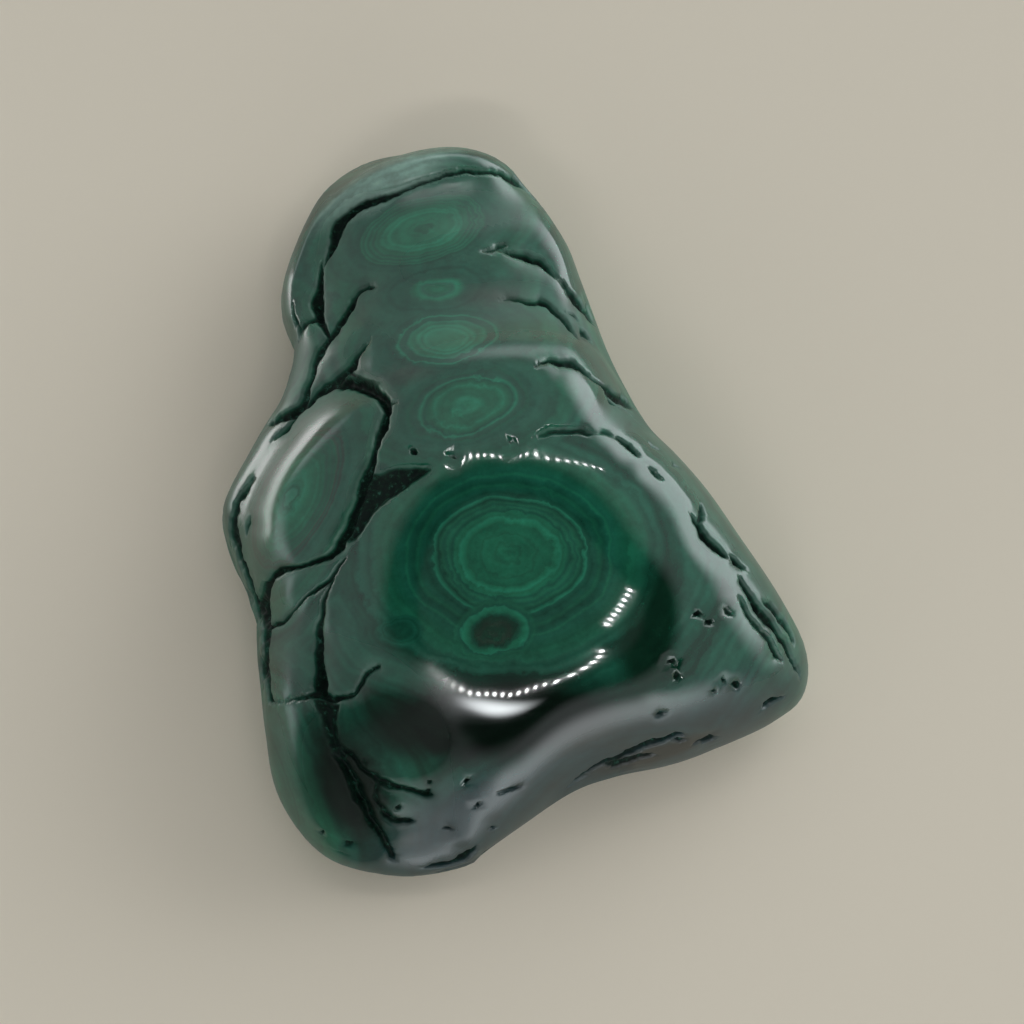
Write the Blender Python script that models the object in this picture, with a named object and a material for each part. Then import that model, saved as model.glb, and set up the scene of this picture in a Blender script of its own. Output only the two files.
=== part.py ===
"""Malachite specimen, one solid stone.

A hand-sized lump of botryoidal malachite that has been ground and polished all over to a
rounded pillow, with a flat sawn base.  Grinding has cut through the natural lobes, so
their tops share one smooth skin and the deep creases between them are left as grooves.

The stone is described in millimetres, +Z up, with its long axis along Y and its base on
z = 0.  It is made in four steps:

1. the skin: spot heights of the polished top, raised lobes, the outline of the wall;
2. a closed ball of quads is pushed out onto that skin and evened out;
3. creases, hollows and pits are cut in, first those drawn on a sheet that leans toward
   the near side, then those drawn on the unrolled wall;
4. the mesh is thinned, the base is made exactly flat, and the size is set.
"""

import math
from collections import namedtuple

import bmesh
import bpy
import numpy as np

NODE = "malachite"

# Overall size of the stone in millimetres.
LENGTH = 91.0
WIDTH = 68.6
HEIGHT = 27.0
MM = 0.001

# How the skin is made.
WIDEST_AT = 6.5        # height of the widest line of the wall
LEAN_UP = 32.0         # radius of the wall above that line
LEAN_DOWN = 8.0        # radius of the wall below that line
WALL_SLOPE = 0.93
EDGE_ROUND = 1.8       # rounding from top to wall
BASE_ROUND = 0.8       # rounding from wall to base
SPOT_SPREAD = 7.0      # softness of the surface through the spot heights
SPOT_EASE = 0.02

# How the mesh is made.
CUTS = 84              # quads along one side of the starting cube
CORE = 0.74            # size of the flat core the ball is blown up from
CORE_HEIGHT = 6.5
EVEN_ROUNDS = 12
NORMAL_ROUNDS = 10     # how far the cutting direction is averaged
TRIANGLES = 9300
BASE_SNAP = 0.12       # everything lower than this is on the base

# How creases are cut.
CREASE_DEPTH = 1.9     # depth of a crease as a multiple of its half width
LIP = 1.3              # the cut reaches this many half widths, with rounded lips
ROLL_WIDTH = 2.0       # the rolled edge reaches this far beyond a crease
ROLL_DEPTH = 0.55      # depth of the rolled edge as a multiple of the half width
HOLLOW_EDGE = 0.7      # width of the sloping side of a hollow
UNROLL = 38.0          # radius that turns an angle on the wall into a length

# The sheet the top is drawn on: it faces a point above the near side.
SHEET_MIDDLE = np.array([0.0, 0.0, 15.0])
SHEET_RISE = math.radians(70.0)
SHEET_REACH = 305.0

# Outline at the widest line, going round from the right flank.
OUTLINE = [
    (27.5, -3.0), (24.0, 2.5), (20.5, 7.0), (17.0, 11.0), (14.0, 16.5), (11.5, 22.0),
    (8.5, 31.0), (6.5, 37.0), (2.5, 44.0), (-3.0, 49.0), (-10.0, 51.5), (-17.5, 50.0),
    (-23.0, 45.5), (-25.8, 40.0), (-28.0, 33.0), (-28.0, 28.0), (-26.5, 23.0),
    (-27.5, 17.5), (-31.0, 10.5), (-34.5, 3.0), (-33.0, -3.5), (-30.5, -9.5),
    (-29.5, -16.5), (-28.5, -24.0), (-26.7, -32.0), (-21.5, -39.0), (-13.0, -41.5),
    (-5.5, -40.0), (-3.0, -38.0), (1.7, -34.5), (7.0, -31.0), (12.5, -29.0),
    (19.0, -27.5), (26.0, -24.8), (31.0, -22.3), (34.0, -19.5), (34.5, -15.0),
    (32.0, -10.0),
]

# Spot heights of the polished top: x, y, z.
SPOTS = [
    (0.5, -13.0, 20.8), (0.5, 1.0, 23.3), (-9.0, 1.0, 22.4), (10.0, 0.0, 22.7),
    (2.0, -27.0, 14.0), (13.0, -19.0, 16.0), (15.5, -6.0, 20.8), (-9.0, -25.0, 14.0),
    (-16.0, -14.0, 16.5), (-6.0, 8.0, 22.7), (-8.0, 16.5, 20.9), (-10.0, 32.5, 16.6),
    (2.0, 14.0, 21.4), (-16.0, 14.0, 19.5), (-1.0, 28.0, 17.9), (-18.0, 30.0, 14.6),
    (-8.5, 42.0, 12.6), (-19.5, 41.0, 11.8), (-10.0, 50.0, 8.0), (0.5, 43.0, 11.8),
    (6.0, 28.0, 16.7), (10.5, 14.0, 19.2), (14.5, 3.0, 21.0), (19.5, -9.0, 19.5),
    (17.5, 7.0, 16.9), (21.5, 0.0, 16.9), (25.5, -8.0, 15.0), (25.5, -20.0, 12.0),
    (32.0, -18.0, 9.5), (19.0, -23.5, 12.5), (7.0, -28.0, 12.5), (-2.0, -33.0, 11.0),
    (-8.0, -35.5, 8.2), (-22.0, -17.0, 14.5), (-26.0, -17.0, 12.8), (-19.0, -31.0, 9.5),
    (-24.0, -30.0, 10.0), (-14.0, -36.0, 7.2), (-14.0, -31.0, 10.4), (-24.0, 0.5, 15.0),
    (-29.0, -7.0, 11.8), (-31.5, 1.0, 11.8), (-18.5, 10.0, 17.2), (-17.0, 2.0, 18.2),
    (-24.5, 11.0, 14.4), (-22.0, 21.0, 15.0), (-25.0, 30.0, 11.8),
]

# Raised lobes: the middle of the face that shows, the compass direction and the rise of
# that face in degrees, the turn of the long axis, the half sizes along, across and
# through the lobe, and the width of the soft join to the rest.
Lobe = namedtuple("Lobe", "middle compass rise turn halves join")
LOBES = [
    Lobe((0.7, -13.9, 23.8), -90.0, 70.5, 0.0, (28.5, 31.0, 16.5), 1.4),        # dome
    Lobe((25.0, -16.3, 15.2), -35.0, 58.0, 0.0, (13.0, 12.0, 8.0), 3.0),        # corner
    Lobe((-24.0, 1.5, 18.4), 172.0, 62.0, 62.0, (14.5, 8.8, 6.0), 1.2),         # left lobe
    Lobe((-19.5, -29.6, 14.6), -120.0, 70.0, 95.0, (13.0, 9.5, 9.0), 1.2),      # near left
    Lobe((-11.0, 46.4, 14.2), 106.0, 52.0, 12.0, (13.0, 6.0, 6.0), 1.0),        # cap
    Lobe((-15.3, -25.0, 16.4), -118.0, 66.0, 20.0, (6.5, 5.0, 4.5), 0.8),       # nodule
]

# Creases on the sheet: each point is x, y, half width.
SHEET_CREASES = {
    "under the cap": [
        (-21.6, 27.8, 0.10), (-21.2, 29.6, 0.45), (-20.7, 31.6, 0.60), (-19.9, 33.1, 0.65),
        (-18.5, 34.5, 0.60), (-16.8, 35.3, 0.55), (-15.1, 35.8, 0.45), (-12.8, 36.6, 0.35),
        (-10.5, 37.6, 0.30), (-8.7, 38.3, 0.30), (-7.2, 38.8, 0.30), (-5.0, 38.9, 0.35),
        (-2.8, 39.0, 0.30), (-1.1, 38.7, 0.30), (0.3, 38.1, 0.40), (1.7, 37.3, 0.40),
        (3.0, 35.9, 0.30), (3.8, 34.6, 0.05),
    ],
    "left gap": [
        (-21.9, 28.8, 0.10), (-22.1, 27.4, 0.35), (-22.4, 25.6, 0.50), (-22.7, 24.0, 0.75),
        (-22.5, 22.7, 0.70), (-22.0, 21.5, 0.40), (-21.4, 20.2, 0.30),
    ],
    "left gap foot": [
        (-22.6, 22.3, 0.35), (-23.6, 21.8, 0.30), (-24.3, 20.8, 0.30), (-24.8, 19.2, 0.10),
    ],
    "left edge": [
        (-25.4, 24.0, 0.10), (-25.1, 22.4, 0.25), (-24.8, 21.0, 0.30), (-24.6, 19.4, 0.10),
    ],
    "first lobe, left": [
        (-15.6, 25.8, 0.05), (-16.6, 25.6, 0.30), (-17.6, 25.1, 0.25), (-18.3, 24.3, 0.40),
        (-18.8, 23.4, 0.55), (-19.6, 22.2, 0.50), (-20.4, 21.0, 0.50), (-21.2, 20.0, 0.40),
        (-22.1, 18.6, 0.40), (-22.8, 16.9, 0.35), (-23.4, 15.2, 0.35), (-24.0, 13.2, 0.40),
        (-24.6, 12.0, 0.50), (-25.6, 11.3, 0.60), (-26.8, 10.8, 0.50), (-27.8, 10.2, 0.30),
    ],
    "second lobe, left": [
        (-16.3, 19.9, 0.05), (-17.2, 18.9, 0.30), (-18.1, 17.8, 0.35), (-18.7, 16.6, 0.50),
        (-19.4, 15.9, 0.50), (-20.6, 14.9, 0.45), (-21.8, 14.1, 0.40), (-22.8, 13.0, 0.30),
        (-23.7, 12.1, 0.30),
    ],
    "round the left lobe": [
        (-27.6, 8.0, 0.10), (-26.6, 8.9, 0.25), (-25.2, 10.6, 0.30), (-23.4, 12.6, 0.35),
        (-22.0, 13.8, 0.45), (-20.6, 14.5, 0.50), (-19.2, 14.7, 0.60), (-17.5, 14.5, 0.70),
        (-16.1, 13.9, 0.70), (-14.9, 12.9, 0.65), (-14.5, 11.4, 0.60), (-15.0, 9.8, 0.60),
        (-15.7, 8.4, 0.50), (-16.1, 7.0, 0.40), (-16.4, 5.4, 0.50), (-16.8, 4.0, 0.60),
        (-17.5, 2.2, 0.60), (-18.0, 0.6, 0.55), (-18.5, -1.0, 0.60), (-19.1, -2.6, 0.60),
        (-20.0, -4.2, 0.60), (-21.4, -5.5, 0.45), (-23.4, -6.2, 0.35), (-25.1, -6.6, 0.35),
        (-26.6, -6.8, 0.50), (-27.7, -7.6, 0.45), (-28.5, -8.8, 0.50), (-28.9, -10.4, 0.60),
        (-28.8, -12.2, 0.80), (-28.5, -13.8, 0.55), (-28.6, -15.8, 0.35),
        (-28.6, -18.0, 0.40), (-28.3, -20.2, 0.40), (-27.9, -21.8, 0.35),
        (-27.4, -22.3, 0.10),
    ],
    "far left rim": [
        (-29.4, 4.2, 0.05), (-30.4, 2.6, 0.25), (-31.6, 1.0, 0.30), (-32.2, -1.0, 0.40),
        (-32.1, -3.2, 0.40), (-31.4, -5.7, 0.45), (-30.7, -7.6, 0.35), (-30.0, -10.0, 0.40),
        (-29.4, -11.8, 0.45), (-28.9, -12.4, 0.40),
    ],
    "left slit": [(-30.2, -0.6, 0.05), (-30.4, -1.6, 0.25), (-30.7, -2.8, 0.10)],
    "first and second lobe, upper": [
        (-4.4, 29.8, 0.03), (-2.8, 29.9, 0.20), (-1.7, 30.3, 0.25), (-0.7, 30.6, 0.20),
        (0.2, 30.8, 0.03),
    ],
    "first and second lobe": [
        (-1.6, 30.0, 0.10), (0.0, 29.6, 0.30), (1.7, 29.3, 0.45), (3.1, 28.8, 0.40),
        (4.2, 27.8, 0.30), (5.2, 26.8, 0.12), (6.7, 25.2, 0.25), (7.6, 24.3, 0.45),
        (8.2, 23.6, 0.55), (8.9, 22.6, 0.45), (9.6, 21.5, 0.25), (10.0, 20.8, 0.05),
    ],
    "second and third lobe": [
        (-2.2, 24.0, 0.03), (-1.0, 24.2, 0.15), (0.2, 24.3, 0.20), (1.7, 24.1, 0.30),
        (3.2, 24.1, 0.35), (4.4, 23.5, 0.30), (5.6, 22.3, 0.25), (6.7, 20.9, 0.25),
        (7.7, 19.7, 0.05),
    ],
    "third lobe slot": [(7.6, 21.2, 0.05), (8.2, 20.4, 0.30), (9.2, 19.1, 0.05)],
    "third lobe loop": [
        (6.3, 22.8, 0.10), (7.0, 22.6, 0.20), (7.6, 21.9, 0.15), (7.4, 21.3, 0.05),
    ],
    "third and fourth lobe": [
        (1.6, 16.3, 0.03), (3.3, 17.1, 0.20), (4.4, 17.4, 0.35), (5.5, 17.2, 0.45),
        (6.7, 17.1, 0.40), (8.1, 16.3, 0.30), (9.1, 15.4, 0.20), (10.6, 14.3, 0.25),
        (11.6, 13.5, 0.45), (12.6, 12.9, 0.50), (13.6, 12.2, 0.35), (14.4, 11.4, 0.05),
    ],
    "fourth lobe, right": [
        (10.9, 13.6, 0.05), (11.6, 12.6, 0.25), (12.8, 11.8, 0.15), (14.2, 10.7, 0.05),
    ],
    "fourth lobe slit": [(-14.8, 12.7, 0.30), (-13.6, 12.6, 0.20), (-12.6, 12.6, 0.03)],
    "above the dome, left": [(-7.4, 6.2, 0.05), (-6.8, 6.2, 0.20), (-6.1, 6.0, 0.05)],
    "above the dome": [(-1.2, 7.5, 0.03), (-0.2, 7.7, 0.15), (0.6, 7.7, 0.03)],
    "above the dome, right": [
        (12.2, 8.4, 0.20), (13.4, 7.6, 0.30), (14.2, 6.8, 0.30), (14.9, 6.0, 0.05),
    ],
    "right flank one": [(15.5, 5.5, 0.05), (16.4, 4.5, 0.25), (17.6, 3.0, 0.05)],
    "right flank two": [(15.6, 8.1, 0.05), (16.3, 7.4, 0.20), (17.1, 6.7, 0.05)],
    "right flank three": [(18.2, 5.8, 0.05), (18.7, 5.3, 0.20), (19.2, 4.8, 0.05)],
    "right flank four": [
        (20.4, 0.1, 0.05), (21.3, -1.3, 0.35), (22.4, -2.9, 0.45), (23.5, -4.2, 0.45),
        (24.6, -5.2, 0.35), (25.2, -5.7, 0.05),
    ],
    "right flank fork": [
        (21.6, 1.2, 0.05), (21.9, 0.3, 0.30), (22.0, -0.8, 0.30), (21.8, -1.6, 0.20),
    ],
    "right flank five": [
        (25.2, -5.0, 0.10), (25.9, -5.9, 0.40), (26.6, -6.6, 0.30), (27.3, -7.0, 0.05),
    ],
    "corner crease": [
        (25.9, -7.3, 0.05), (26.4, -8.2, 0.30), (27.3, -9.6, 0.40), (28.4, -11.1, 0.50),
        (29.5, -12.4, 0.45), (30.4, -13.7, 0.40), (31.4, -15.2, 0.35), (32.2, -16.6, 0.30),
        (32.9, -18.4, 0.20), (33.2, -19.4, 0.05),
    ],
    "corner crease, inner": [
        (25.8, -9.6, 0.05), (26.6, -11.1, 0.25), (27.8, -12.6, 0.30), (28.9, -13.8, 0.25),
        (29.8, -15.4, 0.30), (30.5, -16.8, 0.30), (31.4, -17.8, 0.05),
    ],
    "corner crease, outer": [
        (28.9, -9.9, 0.05), (29.8, -11.0, 0.30), (30.9, -12.3, 0.30), (31.8, -13.6, 0.30),
        (32.5, -15.0, 0.20), (32.7, -15.6, 0.05),
    ],
    "corner slot": [
        (28.4, -23.0, 0.03), (29.2, -22.5, 0.30), (30.3, -22.0, 0.35), (31.4, -21.4, 0.10),
    ],
    "near slot": [(16.0, -24.2, 0.03), (17.0, -23.5, 0.25), (18.0, -23.0, 0.05)],
    "near edge": [
        (6.4, -31.9, 0.10), (7.8, -31.0, 0.25), (9.2, -30.1, 0.30), (10.4, -29.5, 0.30),
        (11.8, -28.9, 0.35), (13.1, -28.3, 0.40), (14.6, -27.7, 0.35), (16.2, -27.0, 0.40),
        (17.6, -26.6, 0.35), (19.0, -26.1, 0.30), (20.0, -25.8, 0.05),
    ],
    "near edge, lower": [
        (10.9, -29.7, 0.20), (12.2, -29.4, 0.40), (13.8, -29.0, 0.35), (15.4, -28.4, 0.25),
        (16.8, -28.0, 0.05),
    ],
    "near edge, dash": [(18.5, -26.8, 0.05), (19.2, -26.6, 0.25), (20.1, -26.3, 0.05)],
    "near edge, right": [
        (20.6, -27.2, 0.05), (21.6, -26.8, 0.30), (22.8, -26.3, 0.30), (23.8, -26.1, 0.05),
    ],
    "small lobe, below": [
        (-28.9, -13.6, 0.30), (-27.6, -13.4, 0.35), (-26.6, -12.9, 0.30),
        (-25.4, -11.6, 0.20), (-23.6, -9.9, 0.25), (-22.4, -8.9, 0.35), (-21.0, -8.2, 0.30),
        (-20.2, -7.0, 0.25), (-19.4, -5.6, 0.20),
    ],
    "left of the crescent": [
        (-20.1, -7.2, 0.15), (-21.1, -9.2, 0.25), (-21.9, -11.2, 0.30), (-22.4, -13.4, 0.40),
        (-22.5, -15.4, 0.50), (-22.5, -17.4, 0.60), (-22.4, -19.2, 0.80),
        (-22.2, -20.8, 0.80),
    ],
    "under the crescent": [
        (-27.6, -22.2, 0.15), (-26.2, -21.9, 0.12), (-24.9, -21.7, 0.25),
        (-23.6, -21.2, 0.35), (-22.2, -21.0, 0.60), (-20.9, -21.6, 0.50),
        (-19.4, -21.5, 0.35), (-18.3, -21.1, 0.30), (-17.5, -20.1, 0.30),
        (-16.5, -18.8, 0.30), (-15.5, -18.0, 0.30), (-14.8, -17.7, 0.05),
    ],
    "nodule, below": [
        (-20.2, -26.8, 0.30), (-19.2, -27.8, 0.40), (-18.0, -28.7, 0.35),
        (-16.7, -30.1, 0.35), (-15.3, -31.3, 0.40), (-13.7, -31.8, 0.40),
        (-11.9, -32.2, 0.30), (-10.5, -32.6, 0.35), (-9.5, -32.9, 0.40), (-8.9, -33.0, 0.05),
    ],
    "near left valley": [
        (-20.4, -28.2, 0.40), (-19.0, -30.2, 0.70), (-17.9, -32.2, 0.80),
        (-17.0, -34.0, 0.80), (-16.2, -35.6, 0.70), (-15.3, -36.8, 0.60),
        (-14.8, -37.8, 0.60), (-14.4, -38.8, 0.50), (-13.8, -40.0, 0.40),
        (-13.3, -40.6, 0.10),
    ],
    "island, left": [
        (-15.4, -31.6, 0.30), (-15.7, -32.6, 0.30), (-15.3, -33.6, 0.30),
        (-14.6, -34.6, 0.35), (-14.6, -35.1, 0.40), (-13.6, -35.6, 0.40),
        (-12.6, -35.8, 0.35), (-11.4, -35.8, 0.30), (-10.9, -35.7, 0.05),
    ],
    "near slot, long": [
        (-2.2, -32.5, 0.03), (-0.8, -32.3, 0.15), (0.4, -32.1, 0.20), (1.7, -31.8, 0.03),
    ],
    "near dash one": [(-7.9, -36.7, 0.05), (-7.3, -36.6, 0.20), (-6.8, -36.5, 0.05)],
    "near dash two": [(-2.9, -36.7, 0.05), (-2.3, -36.5, 0.20), (-1.8, -36.4, 0.05)],
    "near notch": [
        (-10.4, -41.2, 0.10), (-8.6, -41.1, 0.30), (-7.0, -40.9, 0.40), (-5.6, -40.2, 0.45),
        (-4.6, -39.4, 0.40), (-3.9, -38.6, 0.10),
    ],
}

# Hollows on the sheet: depth, then the corners of the hollow.
SHEET_HOLLOWS = {
    "between dome and left lobe": (1.1, [
        (-17.0, 4.9), (-15.4, 4.6), (-13.6, 5.2), (-11.6, 5.3), (-9.6, 5.3), (-8.2, 4.9),
        (-9.9, 3.5), (-11.6, 2.5), (-12.8, 1.7), (-14.2, 0.8), (-15.5, -0.4),
        (-16.6, -2.0), (-17.6, -3.6), (-18.6, -4.4), (-19.6, -4.0), (-18.8, -2.0),
        (-18.1, 0.2), (-17.5, 2.4),
    ]),
    "above the dome": (0.9, [
        (1.8, 8.2), (3.0, 9.0), (4.5, 9.6), (6.5, 9.9), (8.0, 9.8), (9.3, 9.3),
        (10.9, 9.6), (12.0, 8.9), (12.9, 7.9), (12.2, 7.7), (11.0, 8.1), (10.0, 8.5),
        (8.6, 8.1), (7.0, 8.4), (5.5, 8.3), (4.2, 8.0), (3.0, 7.9),
    ]),
    "left of the third lobe": (1.0, [
        (-19.0, 17.0), (-18.2, 16.2), (-16.9, 15.7), (-15.4, 15.3), (-13.6, 15.3),
        (-14.6, 14.7), (-15.4, 14.0), (-16.6, 14.2), (-18.0, 14.7), (-19.4, 15.0),
        (-19.6, 15.9),
    ]),
    "left of the nodule": (1.3, [
        (-23.6, -21.6), (-22.6, -21.2), (-21.0, -21.4), (-19.4, -22.0), (-19.6, -23.4),
        (-19.8, -24.6), (-19.7, -25.8), (-19.3, -27.2), (-18.4, -28.4), (-19.4, -29.4),
        (-20.4, -29.6), (-21.0, -28.6), (-21.7, -26.7), (-22.4, -24.4), (-23.2, -22.6),
    ]),
}

# Pits on the sheet: x, y, half length, half width, turn in degrees.
SHEET_PITS = [
    (21.4, -11.9, 1.1, 0.5, 20.0), (22.6, -12.8, 0.7, 0.5, -40.0),
    (25.1, -11.6, 0.8, 0.35, -50.0), (25.1, -14.8, 0.4, 0.35, 0.0),
    (18.2, -17.4, 0.7, 0.4, 15.0), (19.2, -17.6, 0.45, 0.35, 0.0),
    (22.9, -17.5, 0.4, 0.35, 20.0), (24.2, -19.8, 0.65, 0.45, 30.0),
    (25.9, -20.1, 0.6, 0.5, 0.0), (23.3, -21.0, 0.35, 0.3, 0.0),
    (19.1, -19.2, 0.8, 0.4, 85.0), (-5.0, -31.1, 0.55, 0.45, 0.0),
    (-12.0, -30.7, 0.4, 0.35, 0.0), (-9.5, -31.3, 0.4, 0.4, 0.0),
    (-9.6, -32.4, 0.45, 0.45, 0.0), (-16.9, -28.8, 0.8, 0.35, -55.0),
    (-18.7, -38.4, 0.65, 0.45, 0.0), (-19.6, -39.5, 0.4, 0.3, 0.0),
    (-21.9, -36.9, 0.35, 0.35, 0.0), (-13.1, -34.3, 0.45, 0.45, 0.0),
    (-4.0, -33.9, 0.35, 0.3, 0.0), (-11.3, 6.7, 0.5, 0.4, 90.0),
]

# Creases on the unrolled wall: each point is the angle in degrees, the height, and the
# half width.
WALL_CREASES = {
    "far, one": [
        (84.0, 12.0, 0.3), (82.0, 9.5, 0.5), (85.0, 6.0, 0.6), (83.0, 3.0, 0.4),
        (84.0, 1.0, 0.1),
    ],
    "far, two": [
        (92.0, 7.5, 0.1), (97.0, 8.5, 0.45), (103.0, 7.0, 0.6), (107.0, 4.0, 0.5),
        (108.0, 1.2, 0.1),
    ],
    "far, three": [
        (103.0, 7.2, 0.3), (109.0, 8.6, 0.5), (115.0, 8.4, 0.5), (120.0, 9.8, 0.3),
        (124.0, 11.5, 0.1),
    ],
    "far left, one": [
        (128.0, 12.5, 0.1), (129.0, 9.5, 0.5), (127.0, 6.5, 0.6), (130.0, 3.5, 0.5),
        (129.0, 1.0, 0.1),
    ],
    "far left, two": [
        (136.0, 13.0, 0.2), (137.5, 10.0, 0.6), (140.5, 7.0, 0.7), (140.0, 4.0, 0.5),
        (142.0, 1.0, 0.1),
    ],
    "far left, three": [
        (146.0, 13.5, 0.2), (148.5, 10.5, 0.7), (151.0, 8.0, 0.9), (156.0, 6.5, 0.6),
        (161.0, 6.0, 0.2),
    ],
    "left, one": [
        (151.0, 8.0, 0.6), (150.0, 5.0, 0.6), (152.5, 2.5, 0.4), (152.0, 0.8, 0.1),
    ],
    "left, two": [
        (166.0, 10.5, 0.1), (169.0, 8.0, 0.5), (174.0, 6.6, 0.6), (179.0, 5.0, 0.6),
        (181.0, 2.5, 0.4), (181.0, 0.8, 0.1),
    ],
    "left, three": [
        (174.0, 6.6, 0.3), (178.0, 8.6, 0.5), (184.0, 9.4, 0.5), (189.0, 8.0, 0.6),
        (192.0, 5.0, 0.6), (191.0, 2.0, 0.4), (191.0, 0.8, 0.1),
    ],
    "left, four": [
        (198.0, 9.0, 0.1), (200.0, 6.5, 0.5), (204.0, 4.0, 0.5), (204.0, 1.2, 0.1),
    ],
    "near left, one": [
        (212.0, 6.0, 0.1), (216.0, 5.2, 0.4), (221.0, 5.6, 0.4), (226.0, 4.2, 0.4),
        (229.0, 2.0, 0.1),
    ],
    "near left, two": [
        (246.0, 5.0, 0.1), (248.0, 3.6, 0.4), (252.0, 3.0, 0.4), (256.0, 3.4, 0.1),
    ],
    "near, one": [
        (276.0, 5.5, 0.1), (280.0, 4.4, 0.4), (286.0, 4.2, 0.5), (292.0, 3.0, 0.4),
        (297.0, 2.6, 0.1),
    ],
    "near right, one": [
        (312.0, 5.0, 0.1), (316.0, 3.8, 0.4), (322.0, 4.4, 0.5), (327.0, 3.2, 0.1),
    ],
    "right, one": [
        (338.0, 6.0, 0.1), (341.0, 4.0, 0.4), (346.0, 3.2, 0.5), (351.0, 3.8, 0.1),
    ],
    "right, two": [
        (4.0, 5.5, 0.1), (8.0, 4.2, 0.5), (14.0, 4.8, 0.5), (20.0, 3.6, 0.4),
        (25.0, 3.4, 0.1),
    ],
    "right, three": [
        (36.0, 7.0, 0.1), (40.0, 5.2, 0.5), (47.0, 5.0, 0.6), (53.0, 3.4, 0.4),
        (57.0, 1.6, 0.1),
    ],
    "far right, one": [
        (64.0, 9.5, 0.1), (66.0, 7.0, 0.5), (70.0, 5.2, 0.6), (71.0, 2.5, 0.4),
        (70.0, 1.0, 0.1),
    ],
}

# Pits on the unrolled wall: angle in degrees, height, half length, half width, turn.
WALL_PITS = [
    (76.0, 8.6, 0.9, 0.5, 20.0), (78.0, 4.2, 0.6, 0.5, 0.0), (99.0, 4.4, 0.7, 0.5, 60.0),
    (114.0, 5.0, 0.9, 0.5, -30.0), (120.0, 5.6, 0.6, 0.5, 0.0), (134.0, 6.2, 0.7, 0.5, 80.0),
    (145.0, 6.0, 0.6, 0.5, 10.0), (160.0, 9.2, 0.8, 0.5, -20.0), (166.0, 4.0, 0.9, 0.6, 10.0),
    (186.0, 5.4, 0.7, 0.5, 70.0), (208.0, 8.0, 0.7, 0.4, 30.0), (236.0, 4.6, 0.8, 0.5, 15.0),
    (266.0, 4.4, 0.7, 0.5, -15.0), (304.0, 4.6, 0.8, 0.5, 20.0), (30.0, 5.6, 0.7, 0.4, -40.0),
    (60.0, 6.0, 0.7, 0.5, 50.0),
]


def closed_curve(points, steps=10):
    """Return a smooth closed curve through the points."""
    knots = np.array(points, float)
    curve = []
    for i in range(len(knots)):
        a, b = knots[i - 1], knots[i]
        c, e = knots[(i + 1) % len(knots)], knots[(i + 2) % len(knots)]
        for k in range(steps):
            t = k / steps
            curve.append(0.5 * (2 * b + (c - a) * t + (2 * a - 5 * b + 4 * c - e) * t ** 2
                                + (3 * b - a - 3 * c + e) * t ** 3))
    return np.array(curve)


def soft_min(a, b, width):
    """Return the smaller of two arrays with the corner rounded off."""
    low = np.minimum(a, b)
    return low - width * np.log(np.exp((low - a) / width) + np.exp((low - b) / width))


def soft_max(a, b, width):
    """Return the larger of two arrays with the corner rounded off."""
    return -soft_min(-a, -b, width)


def smooth_step(low, high, value):
    """Return 0 below low, 1 above high and an even ramp between."""
    t = np.clip((value - low) / (high - low), 0.0, 1.0)
    return t * t * (3.0 - 2.0 * t)


def unit(vectors):
    """Return the vectors at length one."""
    return vectors / np.linalg.norm(vectors, axis=1)[:, None]


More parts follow.
